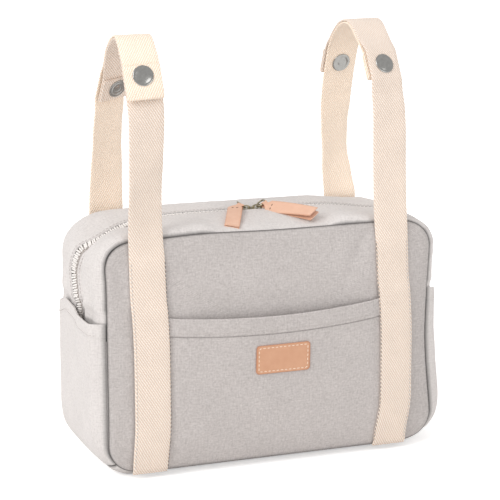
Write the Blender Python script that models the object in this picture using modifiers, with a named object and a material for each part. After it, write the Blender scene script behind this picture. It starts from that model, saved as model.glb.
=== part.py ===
"""Stroller organizer: a box-shaped cloth bag with a two-way zip over its top, a front pocket,
two side pockets and two webbing loops that close with press studs.

Metres, +Z up, -Y is the front. The origin is the middle of the flat underside.
"""
import math

import bmesh
import bpy
from mathutils import Matrix, Vector

MM = 0.001
GAP = 0.3 * MM                      # clearance between neighbouring pieces

# Bag body
BAG_WIDTH = 290 * MM                # seam to seam across the front
BAG_HEIGHT = 196 * MM               # bottom seam to top seam
BAG_DEPTH = 110 * MM                # width of the gusset
CORNER_RADIUS = 25 * MM
CLOTH = 1.4 * MM                    # cotton canvas with its lining
PANEL_CROWN = 8 * MM                # how far the padded front and back stand out
TOP_CROWN = 7.2 * MM                # rise of the gusset from the seams to the zip
BACK_PUFF = 3 * MM                  # extra fullness of the top behind the zip
LEFT_FULLNESS = (14 * MM, 18 * MM)  # how far the sides bulge, high up and low down
RIGHT_FULLNESS = (10 * MM, 19 * MM)
BOTTOM_CROWN = 5.5 * MM
BOTTOM_FLAT = 0.75                  # share of the depth that rests on the floor

# Side pockets, heights above the bottom seam
SIDE_MOUTH_HEIGHT = 134 * MM        # at the seams
SIDE_MOUTH_DIP = 12 * MM
SIDE_MOUTH_STANDOFF = 5.2 * MM
SIDE_BELLY_STANDOFF = 4 * MM
BAND_JOIN_HEIGHT = 114 * MM         # where the zip ends and the lower side band begins

# Front pocket, heights above the bottom seam
FRONT_MOUTH_HEIGHT = 132 * MM       # at the straps
FRONT_MOUTH_SAG = 5 * MM
FRONT_MOUTH_GAPE = 7 * MM
POCKET_TUCK = 6 * MM                # cloth that runs on under the straps

# Leather label
LABEL_WIDTH = 48 * MM
LABEL_HEIGHT = 25 * MM
LABEL_LEATHER = 1.2 * MM
LABEL_CENTRE_X = 3.5 * MM
LABEL_CENTRE_HEIGHT = 89.5 * MM     # above the bottom seam
LABEL_CORNER = 3 * MM

# Webbing straps
STRAP_WIDTH = 30 * MM
STRAP_THICKNESS = 1.8 * MM
STRAP_SPACING = 218 * MM            # centre to centre
STRAP_FOOT = 2 * MM                 # lower end, above the bottom seam
STRAP_SEWN_HEIGHT = 181 * MM        # top of the cross stitching, above the bottom seam

# Press studs
CAP_RADIUS = 8.5 * MM
CAP_EDGE = 0.9 * MM
CAP_DOME = 0.9 * MM
POST_RADIUS = 1.6 * MM
SOCKET_RADIUS = 6.2 * MM
SOCKET_PLATE = 0.6 * MM
SOCKET_DEPTH = 1.1 * MM
STUD_BASE = 0.5 * MM
STUD_NECK_RADIUS = 3 * MM
STUD_FLAT = 11 * MM                 # length of webbing each way that a press stud keeps flat
STUD_SIDES = 12
HOLE_TURN = math.radians(11)

# Zip
ZIP_SLOT = 13 * MM                  # clear width between the two top bands
TAPE_THICKNESS = 0.6 * MM
TAPE_REACH = 15 * MM                # outer edge of each tape from the middle of the zip
CHAIN_WIDTH = 5.6 * MM
CHAIN_HEIGHT = 2 * MM
CHAIN_DEPTH = 1 * MM                # top of the teeth below the bands
CHAIN_SPINE = 1.4 * MM
TOOTH_PITCH = 7 * MM

# Zip sliders, rings and leather pulls
SLIDERS_MEET_X = 2 * MM
SLIDER_LENGTH = 11 * MM
SLIDER_PLATE = 0.8 * MM
SLIDER_TAIL_WIDTH = 8.2 * MM
SLIDER_NOSE_WIDTH = 10.6 * MM
FLANGE_THICKNESS = 1.1 * MM
BRIDGE_SPAN = 7.4 * MM
BRIDGE_WIDTH = 2 * MM
BRIDGE_THICKNESS = 0.8 * MM
RING_RADIUS = 4 * MM
RING_WIRE_RADIUS = 0.7 * MM
PULL_LENGTH = 52 * MM
PULL_WIDTH = 12.5 * MM
PULL_NECK_WIDTH = 4 * MM
PULL_LEATHER = 1.1 * MM
PULL_EYE_RADIUS = 1.3 * MM
PULL_EYE_SHIFT = 0.25 * MM
# How each ring and pull lies: tilt of the ring, the pull's place round it, its droop, its twist
LEFT_LIE = (math.radians(22), math.radians(68), math.radians(8), 0.0)
RIGHT_LIE = (math.radians(22), math.radians(54), math.radians(9), math.radians(20))
LEFT_SPLAY = 0.2 * MM               # how far the pull's two layers part at its end
RIGHT_SPLAY = 1.2 * MM

SEAM_BOTTOM = BOTTOM_CROWN
SEAM_MIDDLE = SEAM_BOTTOM + BAG_HEIGHT / 2
SEAM_TOP = SEAM_BOTTOM + BAG_HEIGHT
SIDE_MOUTH_Z = SEAM_BOTTOM + SIDE_MOUTH_HEIGHT
FRONT_MOUTH_Z = SEAM_BOTTOM + FRONT_MOUTH_HEIGHT
BAND_JOIN_Z = SEAM_BOTTOM + BAND_JOIN_HEIGHT
STRAP_X = STRAP_SPACING / 2
POCKET_OPEN_HALF = STRAP_X - STRAP_WIDTH / 2 - GAP
POCKET_HALF = STRAP_X - STRAP_WIDTH / 2 + POCKET_TUCK
STUD_GAP = 3 * GAP + STUD_BASE + SOCKET_PLATE + SOCKET_DEPTH
BORE_RADIUS = POST_RADIUS + GAP

# Each loop from the front strap's stitching to the back strap's, in millimetres and degrees:
# place across the bag, depth, height above the top seam and turn of the webbing
LEFT_LOOP = [
    (-109, -58.7, 1, 0), (-109, -57.5, 17, 0), (-109, -58, 41, 0), (-109, -59, 71, 0),
    (-109, -59, 101, -2), (-109.5, -56.5, 117, -6), (-110, -51, 133, -9), (-110, -43, 148, -8),
    (-110, -31, 160.5, -4), (-109, -15, 158.5, 0), (-108, 2, 149, 6), (-107, 14, 138, 14),
    (-107, 24, 123, 20), (-108, 34, 105, 22), (-109, 43, 85, 22), (-109, 50, 63, 20),
    (-109, 56, 33, 10), (-109, 58, 15, 3), (-109, 58.8, 1, 0),
]
RIGHT_LOOP = [
    (109, -58.7, 1, 0), (109, -55.5, 15, 0), (109, -50.5, 41, 0), (109, -47, 71, 0),
    (109, -44, 93, 3), (108.5, -39, 109, 8), (108, -32, 124, 12), (108, -22, 139, 10),
    (108.5, -9, 149.5, 4), (109, 8, 159, 0), (109, 25, 157, 0), (109, 40, 148, 2),
    (109, 51, 137, 5), (109, 58.5, 121, 6), (109, 65, 103, 6), (109, 70, 83, 8),
    (109, 73, 61, 18), (109, 72, 39, 22), (109, 66, 17, 10), (109, 60.5, 1, 0),
]
LEFT_STUD_HEIGHTS = (132 * MM, 114 * MM)     # front and back press stud, above the top seam
RIGHT_STUD_HEIGHTS = (127 * MM, 119 * MM)
# At the front and the back press stud: its distance from the strap's fold, and the folded length
LEFT_HEMS = ((16 * MM, 25 * MM), (10 * MM, 20 * MM))
RIGHT_HEMS = ((10 * MM, 20 * MM), (10 * MM, 20 * MM))


def smooth(value):
    """0 to 1 with soft ends."""
    value = min(1.0, max(0.0, value))
    return value * value * (3 - 2 * value)


def linear_colour(text):
    """Linear RGBA of an sRGB hex colour."""
    channels = [int(text[i:i + 2], 16) / 255 for i in (0, 2, 4)]
    linear = [c / 12.92 if c <= 0.04045 else ((c + 0.055) / 1.055) ** 2.4 for c in channels]
    return (*linear, 1.0)


def make_material(name, colour, roughness, metallic=0.0):
    material = bpy.data.materials.new(name)
    material.use_nodes = True
    material.diffuse_color = linear_colour(colour)
    shader = material.node_tree.nodes["Principled BSDF"]
    shader.inputs["Base Color"].default_value = linear_colour(colour)
    shader.inputs["Roughness"].default_value = roughness
    shader.inputs["Metallic"].default_value = metallic
    return material


def add_object(name, mesh, material, collection):
    piece = bpy.data.objects.new(name, mesh)
    mesh.materials.append(material)
    collection.objects.link(piece)
    return piece


def mesh_from(name, edit_mesh):
    mesh = bpy.data.meshes.new(name)
    edit_mesh.to_mesh(mesh)
    edit_mesh.free()
    return mesh


def sheet(name, columns, rows, place, thickness, material, collection):
    """Cloth from a grid whose points go to place(column, row), given its thickness inwards."""
    edit_mesh = bmesh.new()
    bmesh.ops.create_grid(edit_mesh, x_segments=len(columns) - 1, y_segments=len(rows) - 1, size=1)
    for vertex in edit_mesh.verts:
        column = columns[round((vertex.co.x + 1) / 2 * (len(columns) - 1))]
        row = rows[round((vertex.co.y + 1) / 2 * (len(rows) - 1))]
        vertex.co = place(column, row)
    mesh = mesh_from(name, edit_mesh)
    mesh.shade_smooth()
    piece = add_object(name, mesh, material, collection)
    wall = piece.modifiers.new("Thickness", "SOLIDIFY")
    wall.thickness = thickness
    wall.offset = -1
    return piece


def loft(name, sections, material, collection):
    """Closed solid through a row of sections that have the same number of points."""
    edit_mesh = bmesh.new()
    rings = [[edit_mesh.verts.new(point) for point in section] for section in sections]
    count = len(rings[0])
    for ring, following in zip(rings, rings[1:]):
        for i in range(count):
            j = (i + 1) % count
            edit_mesh.faces.new((ring[i], ring[j], following[j], following[i]))
    edit_mesh.faces.new(rings[0])
    edit_mesh.faces.new(rings[-1])
    bmesh.ops.recalc_face_normals(edit_mesh, faces=edit_mesh.faces)
    return add_object(name, mesh_from(name, edit_mesh), material, collection)


def turned(name, profile, frame, material, collection):
    """Solid of revolution about the frame's Z axis from (radius, height) points."""
    edit_mesh = bmesh.new()
    points = [edit_mesh.verts.new((radius, 0, height)) for radius, height in profile]
    for start, end in zip(points, points[1:]):
        edit_mesh.edges.new((start, end))
    if profile[0][0] > 0:
        edit_mesh.edges.new((points[-1], points[0]))
    piece = add_object(name, mesh_from(name, edit_mesh), material, collection)
    spin = piece.modifiers.new("Turn", "SCREW")
    spin.steps = STUD_SIDES
    spin.render_steps = STUD_SIDES
    spin.use_merge_vertices = True
    spin.merge_threshold = 0.00001
    piece.matrix_world = frame
    return piece


def spread(start, end, count):
    return [start + (end - start) * i / count for i in range(count + 1)]


# Panel and gusset surfaces

def outline(s):
    """Point and outward direction on the seam outline, s metres clockwise from the top middle."""
    side = 1 if s >= 0 else -1
    flat = BAG_WIDTH / 2 - CORNER_RADIUS
    upright = BAG_HEIGHT - 2 * CORNER_RADIUS
    arc = CORNER_RADIUS * math.pi / 2
    run = abs(s)
    if run <= flat:
        x, z, angle = run, BAG_HEIGHT / 2, math.pi / 2
    elif run <= flat + arc:
        angle = math.pi / 2 - (run - flat) / CORNER_RADIUS
        x = flat + CORNER_RADIUS * math.cos(angle)
        z = upright / 2 + CORNER_RADIUS * math.sin(angle)
    elif run <= flat + arc + upright:
        x, z, angle = BAG_WIDTH / 2, upright / 2 - (run - flat - arc), 0.0
    elif run <= flat + 2 * arc + upright:
        angle = -(run - flat - arc - upright) / CORNER_RADIUS
        x = flat + CORNER_RADIUS * math.cos(angle)
        z = -upright / 2 + CORNER_RADIUS * math.sin(angle)
    else:
        x, z, angle = 2 * flat + 2 * arc + upright - run, -BAG_HEIGHT / 2, -math.pi / 2
    return side * x, SEAM_MIDDLE + z, side * math.cos(angle), math.sin(angle)


def run_at_height(height):
    """Outline distance from the top middle to a height on the straight side."""
    arc_end = BAG_WIDTH / 2 - CORNER_RADIUS + CORNER_RADIUS * math.pi / 2
    return arc_end + SEAM_TOP - CORNER_RADIUS - height


def bottom_corner_run():
    """Outline distance to the middle of a bottom corner, where the side and bottom bands join."""
    return run_at_height(SEAM_BOTTOM + CORNER_RADIUS) + CORNER_RADIUS * math.pi / 4


def crown(s, y, standoff):
    """How far the gusset stands out of the straight line from seam to seam."""
    across = abs(y) / (BAG_DEPTH / 2)
    x, z, out_x, out_z = outline(s)
    round_share = 1 - across * across
    flat_share = smooth((1 - across) / (1 - BOTTOM_FLAT))
    behind = max(0.0, y - ZIP_SLOT / 2) / (BAG_DEPTH / 2 - ZIP_SLOT / 2)
    puff = BACK_PUFF * 4 * behind * max(0.0, 1 - behind)
    high, low = LEFT_FULLNESS if s < 0 else RIGHT_FULLNESS
    side = high + (low - high) * smooth((SEAM_TOP - z) / (BAG_HEIGHT * 0.6)) + standoff
    top = (TOP_CROWN * round_share + puff) * max(0.0, out_z) ** 2
    bottom = BOTTOM_CROWN * max(0.0, -out_z) ** 2 * flat_share
    return top + bottom + side * out_x ** 2 * round_share


def gusset_point(s, y, lift=0.0, standoff=0.0):
    x, z, out_x, out_z = outline(s)
    rise = crown(s, y, standoff) + lift
    return Vector((x + out_x * rise, y, z + out_z * rise))


def under_pocket(s):
    """The bands lie deeper under the side pockets by one layer of cloth."""
    x, z, out_x, out_z = outline(s)
    if out_x == 0:
        return 0.0
    return -(CLOTH + 3 * GAP) * smooth((SIDE_MOUTH_Z + 8 * MM - z) / (8 * MM))


def panel_depth(x, z):
    """Distance of the panel's outer face from the middle of the bag."""
    across = abs(x) / (BAG_WIDTH / 2)
    up = min(1.0, abs(z - SEAM_MIDDLE) / (BAG_HEIGHT / 2))
    swell = (1 - across ** 5) * (1 - up ** 5)
    return BAG_DEPTH / 2 + GAP / 2 + CLOTH + PANEL_CROWN * max(0.0, swell)


def rounded_point(u, v):
    """Point of the seam outline's inside for u and v from -1 to 1."""
    reach = max(abs(u), abs(v))
    if reach == 0:
        return 0.0, 0.0
    flat_x = BAG_WIDTH / 2 - CORNER_RADIUS
    flat_z = BAG_HEIGHT / 2 - CORNER_RADIUS
    eighth = CORNER_RADIUS * math.pi / 4
    upright_side = abs(u) >= abs(v)
    flat = flat_z if upright_side else flat_x
    run = (abs(v) if upright_side else abs(u)) / reach * (flat + eighth)
    angle = max(0.0, run - flat) / CORNER_RADIUS
    along = min(run, flat) + CORNER_RADIUS * math.sin(angle)
    outward = CORNER_RADIUS * math.cos(angle)
    x, z = (flat_x + outward, along) if upright_side else (along, flat_z + outward)
    return math.copysign(x * reach, u), math.copysign(z * reach, v)


def make_panel(name, facing, material, collection):
    """Rounded, softly padded panel; facing is -1 for the front and 1 for the back."""
    def place(u, v):
        x, z = rounded_point(u, v)
        return Vector((-facing * x, facing * panel_depth(x, SEAM_MIDDLE + z), SEAM_MIDDLE + z))

    return sheet(name, spread(-1, 1, 14), spread(-1, 1, 12), place, CLOTH, material, collection)


def band_runs():
    """Outline stations of the top bands and the zip: close together round the corners."""
    flat = BAG_WIDTH / 2 - CORNER_RADIUS
    arc_end = flat + CORNER_RADIUS * math.pi / 2
    lower = run_at_height(SIDE_MOUTH_Z + 8 * MM)
    half = spread(0, flat, 2) + spread(flat, arc_end, 5)[1:] + [lower, lower + 4 * MM]
    half += spread(run_at_height(SIDE_MOUTH_Z), run_at_height(BAND_JOIN_Z), 2)
    return [-s for s in reversed(half[1:])] + half


def make_bands(material, collection):
    seam = BAG_DEPTH / 2 - GAP / 2
    for name, rows in (
        ("top_band_front", spread(-seam, -TAPE_REACH, 3) + [-ZIP_SLOT / 2]),
        ("top_band_back", [ZIP_SLOT / 2] + spread(TAPE_REACH, seam, 3)),
    ):
        sheet(name, band_runs(), rows, lambda s, y: gusset_point(s, y, under_pocket(s)),
              CLOTH, material, collection)

    top = run_at_height(BAND_JOIN_Z - GAP)
    straight_end = run_at_height(SEAM_BOTTOM + CORNER_RADIUS)
    corner = bottom_corner_run()
    side_runs = spread(top, straight_end, 3) + spread(straight_end, corner - GAP / 2, 4)[1:]
    for name, side in (("side_band_left", -1), ("side_band_right", 1)):
        runs = [side * s for s in side_runs][::side]
        sheet(name, runs, spread(-seam, seam, 8), lambda s, y: gusset_point(s, y, under_pocket(s)),
              CLOTH, material, collection)

    def bottom_point(x, y):
        """x counts from the bottom middle, so both ends run a little up the corners."""
        total = run_at_height(SEAM_BOTTOM + CORNER_RADIUS) + CORNER_RADIUS * math.pi / 2
        total += BAG_WIDTH / 2 - CORNER_RADIUS
        return gusset_point(math.copysign(total - abs(x), x), y)

    flat = BAG_WIDTH / 2 - CORNER_RADIUS
    reach = flat + CORNER_RADIUS * math.pi / 4 - GAP / 2
    half = [0, flat / 2] + spread(flat, reach, 3)
    columns = half[::-1] + [-x for x in half[1:]]
    sheet("bottom_band", columns, spread(-seam, seam, 10), bottom_point, CLOTH, material, collection)


def side_mouth_height(y):
    across = y / (BAG_DEPTH / 2)
    return SIDE_MOUTH_Z - SIDE_MOUTH_DIP * (1 - across * across)


def make_side_pockets(material, collection):
    """Pockets from the bottom corner seam up to a mouth that dips and stands off the bag."""
    seam = BAG_DEPTH / 2 - GAP / 2
    bottom = bottom_corner_run() - 1 * MM
    for name, side in (("side_pocket_left", -1), ("side_pocket_right", 1)):
        def place(up, y, side=side):
            run = bottom + (run_at_height(side_mouth_height(y)) - bottom) * up
            standoff = SIDE_BELLY_STANDOFF * smooth(up / 0.3)
            standoff += (SIDE_MOUTH_STANDOFF - SIDE_BELLY_STANDOFF) * up
            return gusset_point(side * run, y, 0.0, standoff)

        columns = [1 - up for up in (0, 0.25, 0.5, 0.7, 0.84, 0.88, 0.92, 0.96, 1)][::side]
        sheet(name, columns, spread(-seam, seam, 8), place, CLOTH, material, collection)


def front_mouth_height(x):
    across = x / POCKET_HALF
    return FRONT_MOUTH_Z - FRONT_MOUTH_SAG * (1 - across * across)


def pocket_depth(x, z):
    """Distance of the front pocket's outer face from the middle of the bag."""
    free_share = max(0.0, 1 - (x / POCKET_OPEN_HALF) ** 2)
    height_share = max(0.0, (z - SEAM_BOTTOM) / (front_mouth_height(x) - SEAM_BOTTOM))
    gape = FRONT_MOUTH_GAPE * free_share * height_share ** 1.6
    return panel_depth(x, z) + GAP + CLOTH + gape


def make_front_pocket(material, collection):
    def place(x, up):
        z = SEAM_BOTTOM + 1 * MM + (front_mouth_height(x) - SEAM_BOTTOM - 1 * MM) * up
        return Vector((x, -pocket_depth(x, z), z))

    columns = [-POCKET_HALF] + spread(-POCKET_OPEN_HALF, POCKET_OPEN_HALF, 12) + [POCKET_HALF]
    rows = [0, 0.05, 0.12, 0.25, 0.4, 0.6, 0.8, 1]
    sheet("front_pocket", columns, rows, place, CLOTH, material, collection)


def make_label(material, collection):
    """Small leather patch that follows the pocket's face."""
    def place(u, v):
        half_x = LABEL_WIDTH / 2
        half_z = LABEL_HEIGHT / 2
        corner = LABEL_CORNER * (1 - math.sqrt(0.5)) if abs(u) == 1 and abs(v) == 1 else 0.0
        x = LABEL_CENTRE_X + u * (half_x - corner)
        z = SEAM_BOTTOM + LABEL_CENTRE_HEIGHT + v * (half_z - corner)
        return Vector((x, -pocket_depth(x, z) - GAP - LABEL_LEATHER, z))

    edge_u = 1 - LABEL_CORNER / (LABEL_WIDTH / 2)
    edge_v = 1 - LABEL_CORNER / (LABEL_HEIGHT / 2)
    columns = [-1] + spread(-edge_u, edge_u, 4) + [1]
    rows = [-1] + spread(-edge_v, edge_v, 2) + [1]
    sheet("leather_label", columns, rows, place, LABEL_LEATHER, material, collection)


# Webbing loops

class StrapLoop:
    """The line that both straps of one loop follow, from the front foot over to the back foot."""

    def __init__(self, side, points):
        self.side = side
        stations = self.panel_stations(-1)
        free = [(Vector((x * MM, y * MM, SEAM_TOP + rise * MM)), math.radians(turn), 0.0)
                for x, y, rise, turn in points]
        stations += self.rounded(free)
        stations += self.panel_stations(1)[::-1]
        self.centres = [station[0] for station in stations]
        self.turns = [station[1] for station in stations]
        self.hugs = [station[2] for station in stations]
        self.measure()

    def panel_stations(self, facing):
        """Stations on the sewn stretch, which lies on the panel."""
        stations = []
        above = spread(FRONT_MOUTH_HEIGHT + 2 * MM, STRAP_SEWN_HEIGHT, 4)
        below = spread(22 * MM, FRONT_MOUTH_HEIGHT - 12 * MM, 6)
        for height in spread(STRAP_FOOT, 22 * MM, 4)[:-1] + below + above:
            z = SEAM_BOTTOM + height
            depth = panel_depth(STRAP_X, z) + GAP + STRAP_THICKNESS / 2
            if facing < 0:
                depth += (CLOTH + GAP) * smooth((FRONT_MOUTH_HEIGHT + 16 * MM - height) / (14 * MM))
            centre = Vector((self.side * STRAP_X, facing * depth, z))
            stations.append((centre, 0.0, 1.0))
        return stations

    def rounded(self, stations):
        """One more station between each two, on a smooth curve."""
        result = [stations[0]]
        for i in range(len(stations) - 1):
            before = stations[max(0, i - 1)]
            start, end = stations[i], stations[i + 1]
            after = stations[min(len(stations) - 1, i + 2)]
            centre = (start[0] + end[0]) * 0.5625 - (before[0] + after[0]) * 0.0625
            result.append((centre, (start[1] + end[1]) / 2, 0.0))
            result.append(end)
        return result

    def measure(self):
        self.runs = [0.0]
        for start, end in zip(self.centres, self.centres[1:]):
            self.runs.append(self.runs[-1] + (end - start).length)

    def locate(self, run):
        """Centre, direction, width direction, outward normal and hug at a distance along."""
        run = min(max(run, 0.0), self.runs[-1])
        i = 1
        while i < len(self.runs) - 1 and self.runs[i] < run:
            i += 1
        share = (run - self.runs[i - 1]) / (self.runs[i] - self.runs[i - 1])
        centre = self.centres[i - 1].lerp(self.centres[i], share)
        turn = self.turns[i - 1] + (self.turns[i] - self.turns[i - 1]) * share
        hug = self.hugs[i - 1] + (self.hugs[i] - self.hugs[i - 1]) * share
        first = self.tangent(i - 1)
        along = first.lerp(self.tangent(i), share).normalized()
        width = Vector((math.cos(turn), math.sin(turn), 0))
        width = (width - along * width.dot(along)).normalized()
        return centre, along, width, width.cross(along), hug

    def tangent(self, i):
        before = self.centres[max(0, i - 1)]
        after = self.centres[min(len(self.centres) - 1, i + 1)]
        return (after - before).normalized()

    def run_at(self, height, front):
        """Distance along to a height on the front or back leg."""
        order = range(1, len(self.runs))
        for i in order if front else reversed(order):
            low, high = sorted((self.centres[i - 1].z, self.centres[i].z))
            if low <= height <= high:
                share = (height - self.centres[i - 1].z) / (self.centres[i].z - self.centres[i - 1].z)
                return self.runs[i - 1] + (self.runs[i] - self.runs[i - 1]) * share
        return 0.0

    def add_studs(self, front_height, back_height):
        """Keep the webbing flat round both press studs."""
        self.studs = []
        for height, front in ((front_height, True), (back_height, False)):
            run = self.run_at(SEAM_TOP + height, front)
            centre, along, width, normal, hug = self.locate(run)
            self.studs.append((run, centre, along, width, normal))

    def frame_at(self, run):
        for stud_run, centre, along, width, normal in self.studs:
            if abs(run - stud_run) < STUD_FLAT + GAP:
                return centre + along * (run - stud_run), width, normal, 0.0
        centre, along, width, normal, hug = self.locate(run)
        return centre, width, normal, hug

    def layer_gap(self, run):
        """Clearance between the two straps: wider round the press studs."""
        nearest = min(abs(run - stud[0]) for stud in self.studs)
        return GAP + (STUD_GAP - GAP) * smooth((STUD_FLAT + 16 * MM - nearest) / (16 * MM))

    def point(self, run, offset, across):
        """World point: offset outwards from the inner strap's middle, across its width."""
        centre, width, normal, hug = self.frame_at(run)
        spot = centre + width * across
        follow = 0.0
        if hug > 0:
            facing = panel_depth(spot.x, centre.z) - panel_depth(centre.x, centre.z)
            follow = facing * hug
        return spot + normal * (offset + follow)


def strap_sections(loop, runs, offset_at, travel, fold, hem):
    """Edge-on outline of a strap as sections, ending in a folded hem.

    travel is 1 or -1 along the loop, fold is 1 outwards or -1 inwards.
    """
    turn_radius = (STRAP_THICKNESS + GAP) / 2
    end = runs[-1]
    profile = [(run, offset_at(run), 0.0, 1.0) for run in runs]
    for step in range(1, 5):
        angle = math.pi * step / 4
        run = end + travel * turn_radius * math.sin(angle)
        offset = offset_at(end) + fold * turn_radius * (1 - math.cos(angle))
        profile.append((run, offset, -travel * fold * math.sin(angle), math.cos(angle)))
    stud_distance, length = hem
    for back in (max(1 * MM, stud_distance - STUD_FLAT + 1 * MM), stud_distance, length):
        run = end - travel * back
        profile.append((run, offset_at(run) + fold * 2 * turn_radius, 0.0, -1.0))
    half = STRAP_THICKNESS / 2
    sections = []
    for run, offset, along, out in profile:
        faces = []
        for side in (-1, 1):
            for across in (-1, 0, 1):
                spot = loop.point(run + side * half * along, offset + side * half * out,
                                  -side * across * STRAP_WIDTH / 2)
                faces.append(spot)
        sections.append(faces)
    return sections


def make_strap_loop(label, side, points, stud_heights, hems, outer, materials, collection, cutters):
    """Both straps of a loop and the two press studs that hold them together.

    outer names the strap that lies on the outside where they overlap.
    """
    loop = StrapLoop(side, points)
    loop.add_studs(*stud_heights)
    front_stud, back_stud = (stud[0] for stud in loop.studs)
    front_end = back_stud + hems[1][0]
    back_end = front_stud - hems[0][0]

    def outer_offset(run):
        """The outer strap comes back to the panel's face below the overlap."""
        beyond = back_end - run if outer == "front" else run - front_end
        settled = smooth((beyond - 4 * MM) / (70 * MM))
        return (STRAP_THICKNESS + loop.layer_gap(run)) * (1 - settled)

    flats = [(stud - STUD_FLAT, stud + STUD_FLAT) for stud in (front_stud, back_stud)]
    free = [run for run in loop.runs
            if all(run < low - 3 * MM or run > high + 3 * MM for low, high in flats)]
    spaced = sorted(free + [end for flat in flats for end in flat])

    holes = []
    for where, (run, centre, along, width, normal) in zip(("front", "back"), loop.studs):
        frame = Matrix((width, along, normal)).transposed().to_4x4()
        frame.translation = centre
        folded_outer = (where == "front") == (outer == "back")
        make_press_stud(f"snap_{label}_{where}", frame, folded_outer, materials["metal"], collection)
        bpy.ops.mesh.primitive_cylinder_add(vertices=STUD_SIDES, radius=BORE_RADIUS + GAP,
                                            depth=8 * STRAP_THICKNESS)
        hole = bpy.context.object
        hole.name = f"hole_{label}_{where}"
        hole.matrix_world = (frame @ Matrix.Translation((0, 0, STRAP_THICKNESS))
                             @ Matrix.Rotation(HOLE_TURN, 4, "Z"))
        hole.hide_render = True
        hole.display_type = "WIRE"
        for owner in list(hole.users_collection):
            owner.objects.unlink(hole)
        cutters.objects.link(hole)
        holes.append(hole)

    for strap in ("front", "back"):
        outside = strap == outer
        offset_at = outer_offset if outside else (lambda run: 0.0)
        fold = 1 if outside else -1
        if strap == "front":
            runs = [run for run in spaced if run < front_end - 2 * MM] + [front_end]
            sections = strap_sections(loop, runs, offset_at, 1, fold, hems[1])
        else:
            runs = [run for run in spaced[::-1] if run > back_end + 2 * MM] + [back_end]
            sections = strap_sections(loop, runs, offset_at, -1, fold, hems[0])
        piece = loft(f"strap_{label}_{strap}", sections, materials["webbing"], collection)
        for hole in holes:
            cut = piece.modifiers.new("Stud hole", "BOOLEAN")
            cut.operation = "DIFFERENCE"
            cut.object = hole


def make_press_stud(name, frame, folded_outer, material, collection):
    """Cap, socket, stud and back post of one press stud, stacked outwards along the frame's Z.

    Zero height is the middle of the inner strap. One of the two straps is doubled by its hem.
    """
    layer = STRAP_THICKNESS + GAP
    inner_face = STRAP_THICKNESS / 2
    base_low = inner_face + GAP
    base_top = base_low + STUD_BASE
    socket_low = base_top + GAP
    ceiling = socket_low + SOCKET_DEPTH
    socket_top = ceiling + SOCKET_PLATE
    neck_top = ceiling - GAP
    outer_top = inner_face + STUD_GAP + STRAP_THICKNESS + (layer if folded_outer else 0.0)
    back_face = -inner_face - (0.0 if folded_outer else layer)

    cap_low = outer_top + GAP
    turned(f"{name}_cap", [
        (0, cap_low + CAP_EDGE + CAP_DOME), (CAP_RADIUS * 0.55, cap_low + CAP_EDGE + CAP_DOME * 0.75),
        (CAP_RADIUS * 0.93, cap_low + CAP_EDGE), (CAP_RADIUS, cap_low + CAP_EDGE * 0.4),
        (CAP_RADIUS * 0.96, cap_low), (POST_RADIUS, cap_low), (POST_RADIUS, ceiling), (0, ceiling),
    ], frame, material, collection)
    turned(f"{name}_socket", [
        (BORE_RADIUS, socket_top), (SOCKET_RADIUS, socket_top), (SOCKET_RADIUS, socket_low),
        (STUD_NECK_RADIUS + GAP, socket_low), (STUD_NECK_RADIUS + GAP, ceiling),
        (BORE_RADIUS, ceiling),
    ], frame, material, collection)
    turned(f"{name}_stud", [
        (0, neck_top), (STUD_NECK_RADIUS, neck_top), (STUD_NECK_RADIUS, base_top),
        (SOCKET_RADIUS, base_top), (SOCKET_RADIUS, base_low), (BORE_RADIUS, base_low),
        (BORE_RADIUS, neck_top - STUD_BASE), (0, neck_top - STUD_BASE),
    ], frame, material, collection)
    post_top = neck_top - STUD_BASE - GAP
    turned(f"{name}_post", [
        (0, post_top), (POST_RADIUS, post_top), (POST_RADIUS, back_face - GAP),
        (CAP_RADIUS * 0.96, back_face - GAP), (CAP_RADIUS, back_face - GAP - CAP_EDGE * 0.6),
        (CAP_RADIUS * 0.9, back_face - GAP - CAP_EDGE), (0, back_face - GAP - CAP_EDGE * 1.3),
    ], frame, material, collection)


# Zip

def make_tapes(material, collection):
    inner = CHAIN_WIDTH / 2 + GAP
    runs = band_runs()
    for name, rows in (("zip_tape_front", [-TAPE_REACH, -ZIP_SLOT / 2, -inner]),
                       ("zip_tape_back", [inner, ZIP_SLOT / 2, TAPE_REACH])):
        sheet(name, runs, rows, lambda s, y: gusset_point(s, y, under_pocket(s) - CLOTH - 2 * GAP),
              TAPE_THICKNESS, material, collection)


def chain_runs():
    """Outline distances of the tooth edges, evenly spaced along the real length of the zip."""
    end = run_at_height(BAND_JOIN_Z) - 1 * MM
    step = 0.25 * MM
    s = -end
    travelled = 0.0
    edges = [s]
    here = gusset_point(s, 0, under_pocket(s))
    while s < end:
        s += step
        ahead = gusset_point(s, 0, under_pocket(s))
        travelled += (ahead - here).length
        here = ahead
        if travelled >= TOOTH_PITCH / 2:
            travelled -= TOOTH_PITCH / 2
            edges.append(s)
    return edges


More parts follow.
